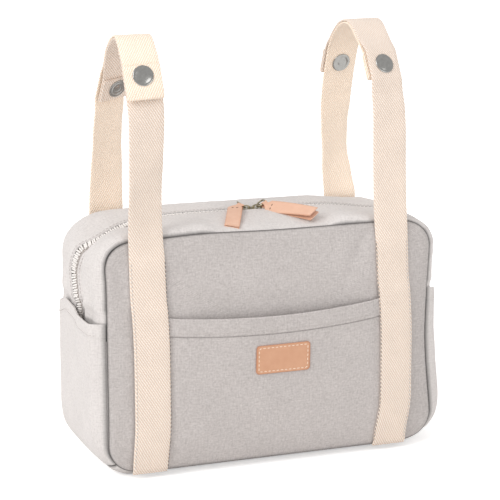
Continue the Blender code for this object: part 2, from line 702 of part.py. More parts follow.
def make_chain(name, facing, material, collection):
    """One row of teeth: a spine on the tape's edge and fingers that reach between its partner's."""
    top = -CHAIN_DEPTH
    bottom = top - CHAIN_HEIGHT
    outer = facing * CHAIN_WIDTH / 2
    inner = facing * (CHAIN_WIDTH / 2 - CHAIN_SPINE)
    tip = -inner + facing * GAP
    edges = chain_runs()
    first = 0 if facing < 0 else 1
    clear = GAP / 2
    runs = []
    teeth = []
    for i in range(first, len(edges) - 1, 2):
        teeth.append(len(runs))
        runs += [edges[i] + clear, edges[i + 1] - clear]
    sections = []
    for s in runs:
        lift = under_pocket(s)
        sections.append([gusset_point(s, outer, lift + top), gusset_point(s, outer, lift + bottom),
                         gusset_point(s, inner, lift + bottom), gusset_point(s, inner, lift + top)])
    piece = loft(name, sections, material, collection)
    edit_mesh = bmesh.new()
    edit_mesh.from_mesh(piece.data)
    edit_mesh.verts.ensure_lookup_table()
    roots = []
    for start in teeth:
        corners = [edit_mesh.verts[4 * start + i] for i in (2, 3)]
        corners += [edit_mesh.verts[4 * (start + 1) + i] for i in (3, 2)]
        roots.append(next(face for face in corners[0].link_faces
                          if all(corner in face.verts for corner in corners)))
    fingers = bmesh.ops.extrude_discrete_faces(edit_mesh, faces=roots)["faces"]
    for finger in fingers:
        bmesh.ops.translate(edit_mesh, vec=(0, tip - inner, 0), verts=finger.verts)
    edit_mesh.to_mesh(piece.data)
    edit_mesh.free()


def make_slider(label, heading, tilt, materials, collection, cutters):
    """Slider and its ring; heading is -1 for the left one and 1 for the right one."""
    top = SEAM_TOP + TOP_CROWN
    ceiling = top - CHAIN_DEPTH + GAP
    plate_top = ceiling + SLIDER_PLATE
    flange_low = top - CLOTH
    inner = CHAIN_WIDTH / 2 + GAP
    outer = inner + FLANGE_THICKNESS
    nose = SLIDERS_MEET_X + heading * GAP / 2
    middle = nose + heading * SLIDER_LENGTH / 2

    sections = []
    for share, width in ((0, 0.72), (0.05, 0.9), (0.18, 1), (0.45, 0.93), (0.8, 0.86), (0.95, 0.8), (1, 0.62)):
        x = nose + heading * share * SLIDER_LENGTH
        taper = SLIDER_NOSE_WIDTH + (SLIDER_TAIL_WIDTH - SLIDER_NOSE_WIDTH) * share
        wide = max(outer, taper / 2 * width) + 0.05 * MM
        shoulder = (ceiling + plate_top) / 2
        profile = [(inner, ceiling), (inner, flange_low), (outer, flange_low), (outer, ceiling),
                   (wide, ceiling), (wide, shoulder), (wide - 0.3 * MM, plate_top)]
        sections.append([Vector((x, y, z)) for y, z in profile]
                        + [Vector((x, -y, z)) for y, z in reversed(profile)])
    body = loft(f"zip_slider_{label}", sections, materials["metal_warm"], collection)

    arch = []
    wire_z = plate_top + GAP + RING_WIRE_RADIUS
    rise = 2 * RING_WIRE_RADIUS + 2 * GAP + BRIDGE_THICKNESS / 2
    half_span = (BRIDGE_SPAN - BRIDGE_THICKNESS) / 2
    for x, z in ((-half_span, -0.4 * MM), (-half_span, rise * 0.6), (-half_span * 0.72, rise),
                 (half_span * 0.72, rise), (half_span, rise * 0.6), (half_span, -0.4 * MM)):
        arch.append(Vector((middle + x, 0, plate_top + z)))
    sections = []
    for i, spot in enumerate(arch):
        along = (arch[min(i + 1, len(arch) - 1)] - arch[max(i - 1, 0)]).normalized()
        out = Vector((0, -1, 0)).cross(along) * BRIDGE_THICKNESS / 2
        side = Vector((0, BRIDGE_WIDTH / 2, 0))
        sections.append([spot + out + side, spot + out - side, spot - out - side, spot - out + side])
    bridge = loft(f"bridge_{label}", sections, materials["metal_warm"], cutters)
    bridge.hide_render = True
    bridge.display_type = "WIRE"
    joined = body.modifiers.new("Bridge", "BOOLEAN")
    joined.operation = "UNION"
    joined.object = bridge

    axis_point = Vector((middle, 0, wire_z))
    reach = Vector((heading * math.cos(tilt), 0, math.sin(tilt)))
    ring_centre = axis_point + reach * RING_RADIUS
    bpy.ops.mesh.primitive_torus_add(major_radius=RING_RADIUS, minor_radius=RING_WIRE_RADIUS,
                                     major_segments=18, minor_segments=6)
    ring = bpy.context.object
    ring.name = f"zip_ring_{label}"
    ring.data.materials.append(materials["metal_warm"])
    ring.data.shade_smooth()
    ring.matrix_world = (Matrix.Translation(ring_centre)
                         @ Matrix.Rotation(-heading * tilt, 4, "Y"))
    for owner in list(ring.users_collection):
        owner.objects.unlink(ring)
    collection.objects.link(ring)
    return ring_centre, reach


def make_pull(label, ring_centre, reach, bearing, droop, twist, splay, material, collection):
    """Leather strip folded round the ring; bearing is its place on the ring from its far side."""
    spoke = reach * math.cos(bearing) + Vector((0, -1, 0)) * math.sin(bearing)
    wire = Vector((0, -1, 0)) * math.cos(bearing) - reach * math.sin(bearing)
    if wire.cross(spoke).z < 0:
        wire.negate()
    up = wire.cross(spoke).normalized()
    along = (spoke * math.cos(droop) - up * math.sin(droop)).normalized()
    normal = wire.cross(along).normalized()
    anchor = ring_centre + spoke * (RING_RADIUS - PULL_EYE_SHIFT)

    eye = PULL_EYE_RADIUS + PULL_LEATHER / 2
    layer = (PULL_LEATHER + GAP) / 2
    neck = 3.2 * MM
    shoulder = neck + 2 * MM
    stations = []
    for share in (1, 0.75, 0.5, 0.25, 0):
        distance = shoulder + (PULL_LENGTH - shoulder) * share
        stations.append((distance, layer + splay * share ** 2, PULL_WIDTH, 0, 1))
    stations.append((neck, layer, PULL_NECK_WIDTH, 0, 1))
    for degrees in (52, 90, 126, 162):
        angle = math.radians(degrees)
        stations.append((eye * math.cos(angle), eye * math.sin(angle), PULL_NECK_WIDTH,
                         math.cos(angle), math.sin(angle)))
    lower = [(distance, -height, width, out_x, -out_y)
             for distance, height, width, out_x, out_y in reversed(stations)]
    sections = []
    for distance, height, width, out_x, out_y in stations + lower:
        turn = Matrix.Rotation(twist * max(0.0, distance) / PULL_LENGTH, 3, along)
        spot = anchor + along * distance + turn @ normal * height
        out = (along * out_x + turn @ normal * out_y) * PULL_LEATHER / 2
        side = turn @ wire * width / 2
        sections.append([spot + out + side, spot + out - side, spot - out - side, spot - out + side])
    loft(f"zip_pull_{label}", sections, material, collection)


def main():
    for leftover in list(bpy.data.objects):
        bpy.data.objects.remove(leftover, do_unlink=True)
    collection = bpy.data.collections.new("stroller_organizer")
    cutters = bpy.data.collections.new("cutters")
    for group in (collection, cutters):
        bpy.context.scene.collection.children.link(group)

    canvas = make_material("canvas", "CCC5C2", 0.85)
    gusset_canvas = make_material("gusset_canvas", "DAD4D0", 0.85)
    webbing = make_material("webbing", "EFE1D6", 0.8)
    leather = make_material("leather", "DAA88B", 0.55)
    pull_leather = make_material("pull_leather", "ECC7B2", 0.55)
    tape = make_material("zip_tape", "CFC7C1", 0.85)
    nylon = make_material("zip_nylon", "DDD6CE", 0.45)
    materials = {
        "webbing": webbing,
        "metal": make_material("polished_steel", "A9A8A4", 0.2, 1.0),
        "metal_warm": make_material("aged_brass", "A59B84", 0.3, 1.0),
    }

    make_panel("front_panel", -1, canvas, collection)
    make_panel("back_panel", 1, canvas, collection)
    make_bands(gusset_canvas, collection)
    make_side_pockets(gusset_canvas, collection)
    make_front_pocket(canvas, collection)
    make_label(leather, collection)
    make_tapes(tape, collection)
    make_chain("zip_chain_front", -1, nylon, collection)
    make_chain("zip_chain_back", 1, nylon, collection)

    for label, heading, lie, splay in (("left", -1, LEFT_LIE, LEFT_SPLAY),
                                       ("right", 1, RIGHT_LIE, RIGHT_SPLAY)):
        tilt, bearing, droop, twist = lie
        centre, reach = make_slider(label, heading, tilt, materials, collection, cutters)
        make_pull(label, centre, reach, bearing, droop, twist, splay, pull_leather, collection)

    make_strap_loop("left", -1, LEFT_LOOP, LEFT_STUD_HEIGHTS, LEFT_HEMS, "back",
                    materials, collection, cutters)
    make_strap_loop("right", 1, RIGHT_LOOP, RIGHT_STUD_HEIGHTS, RIGHT_HEMS, "front",
                    materials, collection, cutters)


main()
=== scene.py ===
import math

import bpy
from mathutils import Matrix, Vector, noise


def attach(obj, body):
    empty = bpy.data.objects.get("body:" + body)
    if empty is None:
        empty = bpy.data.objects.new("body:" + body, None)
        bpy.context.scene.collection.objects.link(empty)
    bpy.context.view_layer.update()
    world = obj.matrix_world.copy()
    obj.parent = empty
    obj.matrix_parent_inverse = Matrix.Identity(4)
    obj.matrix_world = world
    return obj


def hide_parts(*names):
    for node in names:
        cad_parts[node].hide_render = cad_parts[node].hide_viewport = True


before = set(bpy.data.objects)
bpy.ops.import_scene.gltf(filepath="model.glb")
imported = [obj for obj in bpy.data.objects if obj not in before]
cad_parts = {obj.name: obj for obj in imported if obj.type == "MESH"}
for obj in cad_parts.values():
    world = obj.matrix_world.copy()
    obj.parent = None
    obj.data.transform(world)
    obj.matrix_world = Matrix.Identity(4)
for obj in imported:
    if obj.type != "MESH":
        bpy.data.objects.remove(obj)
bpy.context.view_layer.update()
print("frame loaded:", len(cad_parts), "nodes")

mm = 0.001
scene = bpy.context.scene
scene.view_settings.view_transform = "Standard"


def linearColour(text):
    # sRGB hex to linear
    parts = [int(text[i:i + 2], 16) / 255 for i in (0, 2, 4)]
    return [c / 12.92 if c <= 0.04045 else ((c + 0.055) / 1.055) ** 2.4 for c in parts] + [1]


def addNode(tree, kind, inputs=None, **settings):
    node = tree.nodes.new("ShaderNode" + kind)
    for key, value in settings.items():
        setattr(node, key, value)
    for key, value in (inputs or {}).items():
        if isinstance(value, bpy.types.NodeSocket):
            tree.links.new(value, node.inputs[key])
        else:
            node.inputs[key].default_value = value
    return node


def newMaterial(name, **shaderValues):
    material = bpy.data.materials.new(name)
    material.use_nodes = True
    tree = material.node_tree
    shader = tree.nodes["Principled BSDF"]
    for key, value in shaderValues.items():
        shader.inputs[key.replace("_", " ")].default_value = value
    return material, tree, shader


def calc(tree, operation, *values, **settings):
    return addNode(tree, "Math", dict(enumerate(values)), operation=operation, **settings).outputs[0]


def vectorCalc(tree, operation, first, second):
    return addNode(tree, "VectorMath", {0: first, 1: second}, operation=operation).outputs[0]


def scaleColour(tree, colour, factor):
    return addNode(tree, "VectorMath", {0: colour, "Scale": factor}, operation="SCALE").outputs[0]


def blend(tree, share, first, second):
    return addNode(tree, "Mix", {0: share, 6: linearColour(first), 7: linearColour(second)},
                   data_type="RGBA").outputs[2]


def remap(tree, value, low, high, newLow, newHigh):
    return addNode(tree, "MapRange", {"Value": value, "From Min": low, "From Max": high,
                                      "To Min": newLow, "To Max": newHigh}).outputs[0]


def noiseFac(tree, place, scale, detail, roughness=0.5):
    return addNode(tree, "TexNoise", {"Vector": place, "Scale": scale, "Detail": detail,
                                      "Roughness": roughness}).outputs["Fac"]


def objectPlace(tree):
    return addNode(tree, "TexCoord").outputs["Object"]


def jittered(tree, uv, scale, detail, amount):
    # UV moved a little at random, since no thread is quite straight
    jitter = addNode(tree, "TexNoise", {"Vector": uv, "Scale": scale, "Detail": detail})
    offset = vectorCalc(tree, "MULTIPLY", jitter.outputs["Color"], (amount, amount, 0))
    return vectorCalc(tree, "ADD", uv, offset)


def wave(tree, value, frequency):
    # 0 to 1 and back, frequency times per metre
    sine = calc(tree, "SINE", calc(tree, "MULTIPLY", value, 2 * math.pi * frequency))
    return calc(tree, "MULTIPLY_ADD", sine, 0.5, 0.5)


def colourRamp(tree, value, stops):
    ramp = addNode(tree, "ValToRGB", {0: value})
    elements = ramp.color_ramp.elements
    for element, (position, colour) in zip(elements, (stops[0], stops[-1])):
        element.position = position
        element.color = linearColour(colour)
    for position, colour in stops[1:-1]:
        elements.new(position).color = linearColour(colour)
    return ramp.outputs[0]


def paint(tree, shader, colour, height, strength, distance):
    tree.links.new(colour, shader.inputs["Base Color"])
    bump = addNode(tree, "Bump", {"Height": height, "Strength": strength, "Distance": distance})
    tree.links.new(bump.outputs[0], shader.inputs["Normal"])


# Cotton duck canvas: plain weave, matt, with thicker slub threads both ways.
# Real threads are about 0.6 mm apart, drawn 1.1 mm apart so that they show.
canvasLook = {"threadPitch": 1.1 * mm, "slubLength": 7 * mm, "slubWidth": 1.1 * mm, "jitter": 0.9 * mm,
              "threadShare": 0.35, "grainShare": 1.3, "paintedShadeDepth": 0.8, "bump": 0.3, "bumpDepth": 0.4 * mm}


def makeCanvas(name, colour, dark, light):
    look = canvasLook
    material, tree, shader = newMaterial(name, Roughness=0.88, Sheen_Weight=0.12, Sheen_Roughness=0.5)
    uv = addNode(tree, "UVMap", uv_map="UVMap").outputs[0]
    moved = jittered(tree, uv, 260, 2, look["jitter"])
    split = addNode(tree, "SeparateXYZ", {0: moved})
    warp, weft = (wave(tree, split.outputs[i], 1 / look["threadPitch"]) for i in (0, 1))
    over = addNode(tree, "TexChecker", {"Vector": moved, "Scale": 2 / look["threadPitch"]}).outputs["Fac"]
    threads = addNode(tree, "Mix", {0: over, 2: warp, 3: weft}).outputs[0]
    fine, coarse = 1 / look["slubWidth"], 1 / look["slubLength"]
    slubs = [noiseFac(tree, vectorCalc(tree, "MULTIPLY", uv, scale), 1, 2, 0.65)
             for scale in ((fine, coarse, 1), (coarse, fine, 1))]
    slub = remap(tree, calc(tree, "ADD", *slubs), 0.72, 1.28, 0.22, 0.78)
    tone = calc(tree, "MULTIPLY_ADD", threads, look["threadShare"], slub)
    tone = calc(tree, "MULTIPLY_ADD", noiseFac(tree, uv, 560, 2, 0.6), look["grainShare"], tone)
    cloth = colourRamp(tree, calc(tree, "MULTIPLY", tone, 0.378), ((0.12, dark), (0.5, colour), (0.9, light)))
    patches = remap(tree, noiseFac(tree, uv, 28, 3), 0.3, 0.7, 0.965, 1.02)
    # Painted shade from the seamShade attribute: dark lines along seams and hems, beside the zip slot and under the
    # side pocket mouths, and a faint darkening towards the panel edges.
    shade = addNode(tree, "Attribute", attribute_name="seamShade").outputs["Fac"]
    factor = calc(tree, "MULTIPLY", patches, calc(tree, "MULTIPLY_ADD", shade, -look["paintedShadeDepth"], 1.0))
    paint(tree, shader, scaleColour(tree, cloth, factor), calc(tree, "ADD", threads, slub),
          look["bump"], look["bumpDepth"])
    return material


# Cotton webbing: heavy twill, so slanting ribs of short raised floats with tan gaps.
# Ribs are 1.8 mm apart as in the real 30 mm webbing.
webbingLook = {"ribPitch": 1.8 * mm, "floatLength": 2.6 * mm, "slant": math.radians(58), "jitter": 0.6 * mm,
               "floatShift": 2.4, "bump": 0.75, "bumpDepth": 0.5 * mm}


def makeWebbing(name, thread, gap):
    look = webbingLook
    material, tree, shader = newMaterial(name, Roughness=0.85, Sheen_Weight=0.15, Sheen_Roughness=0.5)
    uv = addNode(tree, "UVMap", uv_map="UVMap").outputs[0]
    moved = jittered(tree, uv, 300, 1, look["jitter"])
    cosine, sine = math.cos(look["slant"]), math.sin(look["slant"])
    ribs, along = (addNode(tree, "VectorMath", {0: moved, 1: axis}, operation="DOT_PRODUCT").outputs["Value"]
                   for axis in ((cosine, sine, 0), (-sine, cosine, 0)))
    ribNumber = calc(tree, "FLOOR", calc(tree, "MULTIPLY", ribs, 1 / look["ribPitch"]))
    shift = calc(tree, "MULTIPLY", ribNumber, look["floatShift"])
    floats = calc(tree, "SINE", calc(tree, "MULTIPLY_ADD", along, 2 * math.pi / look["floatLength"], shift))
    height = calc(tree, "MULTIPLY", wave(tree, ribs, 1 / look["ribPitch"]),
                  calc(tree, "MULTIPLY_ADD", floats, 0.3, 0.7))
    twill = colourRamp(tree, height, ((0.02, gap), (0.5, thread)))
    patches = remap(tree, noiseFac(tree, uv, 45, 3), 0.3, 0.7, 0.96, 1.02)
    paint(tree, shader, scaleColour(tree, twill, patches), height, look["bump"], look["bumpDepth"])
    return material


# Vegetable-tanned cowhide, smooth and matt, with fine pores and a burnished darker edge.
def makeLeather(name, colour, edge):
    material, tree, shader = newMaterial(name, Roughness=0.55, Specular_IOR_Level=0.35)
    place = objectPlace(tree)
    pores = addNode(tree, "TexVoronoi", {"Vector": place, "Scale": 1500},
                    feature="DISTANCE_TO_EDGE").outputs["Distance"]
    mottle = noiseFac(tree, place, 160, 5)
    shade = addNode(tree, "Attribute", attribute_name="seamShade").outputs["Fac"]
    burnish = calc(tree, "ADD", shade, remap(tree, mottle, 0.25, 0.75, 0.0, 0.3), use_clamp=True)
    paint(tree, shader, blend(tree, burnish, colour, edge),
          calc(tree, "MULTIPLY_ADD", pores, 120.0, mottle), 0.18, 0.2 * mm)
    return material


# Nickel-plated steel, die-formed and tumbled: bright, with faint wear in its sheen.
# Antique brass plating: dull olive metal, rubbed bright in places.
def makeMetal(name, colour, worn, roughness):
    material, tree, shader = newMaterial(name, Metallic=1.0)
    wear = noiseFac(tree, objectPlace(tree), 420, 4)
    tree.links.new(blend(tree, wear, colour, worn), shader.inputs["Base Color"])
    rough = remap(tree, wear, 0.3, 0.7, roughness * 0.8, roughness * 1.3)
    tree.links.new(rough, shader.inputs["Roughness"])
    return material


# Polyester sewing thread and nylon coil: satin, with a fine twist along each thread.
def makeThread(name, colour, roughness):
    material, tree, shader = newMaterial(name, Roughness=roughness)
    twist = noiseFac(tree, objectPlace(tree), 1400, 2)
    level = remap(tree, twist, 0.0, 1.0, 0.86, 1.08)
    paint(tree, shader, scaleColour(tree, linearColour(colour)[:3], level), twist, 0.2, 0.2 * mm)
    return material


canvas = makeCanvas("cottonCanvas", "C0B9B6", "968F8C", "DED8D5")
# The gusset gets a lighter copy of the same canvas: painted light, for the sides and top that the lamp lights more
# than the panels.
litGussetCanvas = makeCanvas("cottonCanvasGussetLit", "D7D1CE", "B9B3B0", "EAE5E2")
webbing = makeWebbing("cottonTwillWebbing", "F4E8DD", "DCC3AF")
# The back straps get a lighter, warmer copy of the webbing: painted light, standing in for the light that their
# down-turned faces catch.
litBackWebbing = makeWebbing("cottonTwillWebbingBackLit", "FFF4E6", "F6D9BE")
labelLeather = makeLeather("cowhideTan", "D3A283", "BC8363")
pullLeather = makeLeather("cowhideBlush", "E8BEA5", "D29B7D")
# The steel is coloured darker than nickel plate: painted reflection, standing in for the darker surroundings that the
# snap caps reflect.
steel = makeMetal("nickelPlatedSteel", "8F8E8B", "ACABA8", 0.2)
brass = makeMetal("antiqueBrassPlate", "6A6350", "C2B79C", 0.28)
greyThread = makeThread("threadGrey", "BDB6B2", 0.7)
# Thread for the rows at the straps' inner edges: real stitches, coloured dark as painted shadow of the stitching along
# the strap edge.
darkThreadWithShadow = makeThread("threadDarkWithShadow", "6B6360", 0.7)
brownThread = makeThread("threadBrown", "7A5A48", 0.65)
creamThread = makeThread("threadCream", "F4DFC8", 0.65)
coilNylon = makeThread("nylonCoil", "EDE8E4", 0.5)
tapeCloth = makeCanvas("zipTapeTwill", "BDB5B0", "9E9691", "D2CBC6")
print("materials made")


bag = {
    "width": 290 * mm, "height": 196 * mm, "depth": 110 * mm, "corner": 25 * mm, "cloth": 1.4 * mm,
    "panelCrown": 8 * mm, "topCrown": 7.2 * mm, "backPuff": 3 * mm,
    "leftFullness": (12.5 * mm, 10.5 * mm), "rightFullness": (9 * mm, 16 * mm),
    "foldRadius": 9.5 * mm,    # how round the lower sides turn in at their seams
    "topRoll": 9 * mm,         # how far in the top rolls over to its seams
    "bottomCrown": 5.5 * mm, "bottomFlat": 0.75, "gap": 0.3 * mm,
    "seamRoll": 1.5 * mm,      # how far the cloth turns in at a seam
    "seamReach": 2.2 * mm,
}
seamBottom = bag["bottomCrown"]
seamTop = seamBottom + bag["height"]
seamMiddle = seamBottom + bag["height"] / 2
flatX = bag["width"] / 2 - bag["corner"]
flatZ = bag["height"] / 2 - bag["corner"]
halfDepth = bag["depth"] / 2
arcLength = bag["corner"] * math.pi / 2


def smooth(value):
    value = min(1.0, max(0.0, value))
    return value * value * (3 - 2 * value)


def spread(start, end, count):
    return [start + (end - start) * i / count for i in range(count + 1)]


def ripple(x, y, seed, size):
    # Slow random swell of cloth, -1 to 1, size in metres from hill to hill
    return noise.noise(Vector((x / size, y / size, seed)))


def creaseAt(x, y, creases):
    # Sum of folds: each a line with a width and a height, fading at its ends
    total = 0.0
    spot = Vector((x, y, 0))
    for x1, y1, x2, y2, width, height in creases:
        start = Vector((x1 * mm, y1 * mm, 0))
        line = Vector((x2 * mm, y2 * mm, 0)) - start
        share = min(1.0, max(0.0, (spot - start).dot(line) / line.length_squared))
        away = (spot - start - line * share).length / (width * mm)
        if away < 3:
            total += height * mm * math.exp(-away * away) * math.sin(math.pi * (0.12 + 0.76 * share))
    return total


def outline(s):
    # Point and outward direction on the seam, s metres clockwise from the top middle
    side = 1 if s >= 0 else -1
    run = abs(s)
    if run <= flatX:
        x, z, angle = run, bag["height"] / 2, math.pi / 2
    elif run <= flatX + arcLength:
        angle = math.pi / 2 - (run - flatX) / bag["corner"]
        x, z = flatX + bag["corner"] * math.cos(angle), flatZ + bag["corner"] * math.sin(angle)
    elif run <= flatX + arcLength + 2 * flatZ:
        x, z, angle = bag["width"] / 2, flatZ - (run - flatX - arcLength), 0.0
    elif run <= flatX + 2 * arcLength + 2 * flatZ:
        angle = -(run - flatX - arcLength - 2 * flatZ) / bag["corner"]
        x, z = flatX + bag["corner"] * math.cos(angle), -flatZ + bag["corner"] * math.sin(angle)
    else:
        x, z, angle = 2 * flatX + 2 * arcLength + 2 * flatZ - run, -bag["height"] / 2, -math.pi / 2
    return side * x, seamMiddle + z, side * math.cos(angle), math.sin(angle)


def runAtHeight(height):
    return flatX + arcLength + seamTop - bag["corner"] - height


def gussetRise(s, y, standoff):
    across = abs(y) / halfDepth
    x, z, outX, outZ = outline(s)
    roundShare = 1 - across * across
    flatShare = smooth((1 - across) / (1 - bag["bottomFlat"]))
    # the back half of the top, behind the zip, is puffed up
    behind = max(0.0, y - 6.5 * mm) / (halfDepth - 6.5 * mm)
    puff = bag["backPuff"] * 4 * behind * max(0.0, 1 - behind)
    # the sides bulge, turn in at their seams and are flatter low down
    high, low = bag["leftFullness"] if s < 0 else bag["rightFullness"]
    full = high + (low - high) * smooth((seamTop - z) / (bag["height"] * 0.6))
    seam = halfDepth - abs(y)
    radius = bag["foldRadius"]
    turn = math.sqrt(max(0.0, 2 * radius * seam - seam * seam)) if seam < radius else radius
    folded = 0.6 + 0.4 * smooth((158 * mm - z) / (34 * mm))
    side = full * roundShare + (turn - radius * roundShare) * folded
    side = side * (0.5 + 0.5 * smooth((z - seamBottom) / (34 * mm))) + standoff * smooth(seam / (9 * mm))
    # the top rolls over to its seams, less so at the front between the straps
    roll = min(1.0, seam / bag["topRoll"])
    rolled = 0.8 * math.sqrt(1 - (1 - roll) ** 2) + 0.2 * roundShare
    pressed = smooth((x + 62 * mm) / (20 * mm)) * smooth((66 * mm - x) / (18 * mm)) if y < 0 else 0.0
    crown = rolled + (roundShare - rolled) * (pressed if y < 0 else 0.75)
    top = (bag["topCrown"] * crown + puff) * max(0.0, outZ) ** 2
    top *= 1 - 0.55 * smooth((x - 62 * mm) / (56 * mm))
    return top + bag["bottomCrown"] * max(0.0, -outZ) ** 2 * flatShare + side * outX ** 2


# where the filled bag is pushed out or in: centre, reach and push, each as x, y, z in mm
nudges = [
    ((-138, -55, 195), (17, 32, 17), (-2.4, 0, 0.4)), ((-138, 32, 197), (24, 32, 22), (2.0, 0, -1.8)),
    ((-134, -8, 196), (22, 17, 22), (6.5, 0, -6.5)), ((-60, 20, 204), (50, 60, 14), (0, 0, 1.4)),
    ((-155, 5, 165), (24, 30, 14), (0.8, 0, 0)), ((150, 20, 205), (60, 60, 18), (0, 0, -5.0)),
    ((-60, -55, 203), (44, 20, 14), (0, 0, 1.8)), ((140, -55, 195), (24, 20, 18), (-0.4, 0, -1.2)),
    ((152, -10, 150), (20, 60, 30), (-2.2, 0, 0)),
    ((150, -30, 100), (24, 70, 46), (-5, 0, 0)), ((138, -55, 20), (26, 60, 26), (1.8, 0, 0)),
    ((-138, 0, 14), (26, 60, 20), (-1.6, 0, 0)),
]


def settle(point):
    # The point as the filled bag pushes it; a push ends three reaches from its centre
    moved = point.copy()
    for centre, reach, push in nudges:
        away = sum(((point[i] - centre[i] * mm) / (reach[i] * mm)) ** 2 for i in range(3))
        if away < 3 ** 2:
            moved += Vector(push) * mm * math.exp(-away)
    return moved


def seamDrop(distance):
    # How far cloth lies in near a seam at that distance
    return bag["seamRoll"] * math.exp(-(max(0.0, distance) / bag["seamReach"]) ** 1.5)


def seamShade(distance):
    return math.exp(-(max(0.0, distance) / (0.85 * mm)) ** 2)


def gussetPoint(s, y, lift=0.0, standoff=0.0):
    x, z, outX, outZ = outline(s)
    rise = gussetRise(s, y, standoff) + lift
    return settle(Vector((x + outX * rise, y, z + outZ * rise)))


def distanceIn(x, z, straightX, straightZ, corner):
    # Distance in from the outline of a rounded rectangle
    qx, qz = abs(x) - straightX, abs(z) - straightZ
    return corner - (math.hypot(max(qx, 0), max(qz, 0)) + min(max(qx, qz), 0.0))


def edgeDistance(x, z):
    # Distance in from the seam outline of the panels
    return distanceIn(x, z - seamMiddle, flatX, flatZ, bag["corner"])


def panelDepth(x, z):
    across = min(1.0, abs(x) / (bag["width"] / 2))
    up = min(1.0, abs(z - seamMiddle) / (bag["height"] / 2))
    swell = (1 - across ** 5) * (1 - up ** 5)
    return halfDepth + bag["gap"] / 2 + bag["cloth"] + bag["panelCrown"] * max(0.0, swell)


def roundedPoint(u, v, halfX, halfZ, corner):
    # Square -1 to 1 onto a rounded rectangle
    reach = max(abs(u), abs(v))
    if reach == 0:
        return 0.0, 0.0
    straightX, straightZ = halfX - corner, halfZ - corner
    eighth = corner * math.pi / 4
    upright = abs(u) >= abs(v)
    straight = straightZ if upright else straightX
    run = (abs(v) if upright else abs(u)) / reach * (straight + eighth)
    angle = max(0.0, run - straight) / corner
    along = min(run, straight) + corner * math.sin(angle)
    outward = corner * math.cos(angle)
    x, z = (straightX + outward, along) if upright else (along, straightZ + outward)
    return math.copysign(x * reach, u), math.copysign(z * reach, v)


def deselectAll():
    bpy.ops.object.select_all(action="DESELECT")


def useOnly(piece):
    deselectAll()
    piece.select_set(True)
    bpy.context.view_layer.objects.active = piece


def finishPiece(piece, material, node=None, body="bag"):
    piece.data.materials.clear()
    piece.data.materials.append(material)
    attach(piece, body)
    if node:
        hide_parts(node)
    return piece


def named(name):
    piece = bpy.context.object
    piece.name = name
    return piece


def resizeMesh(value):
    bpy.ops.transform.resize(value=value)
    bpy.ops.object.transform_apply(location=False, rotation=False, scale=True)


def quarterTurn(axis):
    bpy.ops.transform.rotate(value=math.pi / 2, orient_axis=axis, center_override=(0, 0, 0))
    bpy.ops.object.transform_apply(location=False, rotation=True, scale=False)


def editWhole(*steps):
    # Mesh operators in turn, each run on the whole of the active mesh
    bpy.ops.object.mode_set(mode="EDIT")
    for operator, values in steps:
        bpy.ops.mesh.select_all(action="SELECT")
        operator(**values)
    bpy.ops.object.mode_set(mode="OBJECT")


outwards = (bpy.ops.mesh.normals_make_consistent, {"inside": False})


def travelled(spots):
    # Distance from the first point to each point of a line
    runs = [0.0]
    for a, b in zip(spots, spots[1:]):
        runs.append(runs[-1] + (b - a).length)
    return runs


def gridPiece(name, across, upward):
    # A flat grid, with the column and row of each of its vertices
    deselectAll()
    bpy.ops.mesh.primitive_grid_add(x_subdivisions=across, y_subdivisions=upward, size=2)
    piece = named(name)
    return piece, [(round((vertex.co.x + 1) / 2 * across), round((vertex.co.y + 1) / 2 * upward))
                   for vertex in piece.data.vertices]


def unwrap(mesh, cells, runs, climbs):
    layer = mesh.uv_layers.active or mesh.uv_layers.new(name="UVMap")
    layer.name = "UVMap"
    for corner in mesh.loops:
        i, j = cells[corner.vertex_index]
        layer.data[corner.index].uv = (runs[i], climbs[j])


def clothSheet(name, columns, rows, place, thickness, shadeAt=None, smoothAngle=50):
    # Cloth from a grid: place(column, row) gives each point of its outer face
    piece, cells = gridPiece(name, len(columns) - 1, len(rows) - 1)
    mesh = piece.data
    spots = {(i, j): place(columns[i], rows[j]) for i, j in cells}
    for vertex, cell in zip(mesh.vertices, cells):
        vertex.co = spots[cell]
    runs = travelled([spots[i, (len(rows) - 1) // 2] for i in range(len(columns))])
    climbs = travelled([spots[(len(columns) - 1) // 2, j] for j in range(len(rows))])
    unwrap(mesh, cells, runs, climbs)
    shade = mesh.attributes.new("seamShade", "FLOAT", "POINT")
    if shadeAt:
        shade.data.foreach_set("value", [shadeAt(columns[i], rows[j]) for i, j in cells])
    wall = piece.modifiers.new("Cloth", "SOLIDIFY")
    wall.thickness = thickness
    wall.offset = -1
    useOnly(piece)
    bpy.ops.object.modifier_apply(modifier=wall.name)
    bpy.ops.object.shade_smooth_by_angle(angle=math.radians(smoothAngle))
    piece["flatSize"] = (runs[-1], climbs[-1])
    return piece


def makeSheet(name, node, material, slot, columns, rows, place, thickness=bag["cloth"], shadeAt=None):
    piece = clothSheet(name, columns, rows, place, thickness, shadeAt)
    finishPiece(piece, material, node)


def linked(name, data):
    piece = bpy.data.objects.new(name, data)
    scene.collection.objects.link(piece)
    return piece


def copyInto(name, pattern, frames):
    # One mesh that holds a copy of the pattern at each frame
    points = [vertex.co.copy() for vertex in pattern.data.vertices]
    faces = [tuple(face.vertices) for face in pattern.data.polygons]
    allPoints, allFaces = [], []
    for matrix in frames:
        start = len(allPoints)
        allPoints += [matrix @ point for point in points]
        allFaces += [tuple(start + i for i in face) for face in faces]
    mesh = bpy.data.meshes.new(name)
    mesh.from_pydata(allPoints, [], allFaces)
    mesh.shade_smooth()
    return linked(name, mesh)


def axesAt(x, y, z, centre):
    matrix = Matrix((x, y, z)).transposed().to_4x4()
    matrix.translation = centre
    return matrix


def frameFrom(along, normal, centre):
    along = along.normalized()
    normal = (normal - along * normal.dot(along)).normalized()
    return axesAt(along, normal.cross(along), normal, centre)


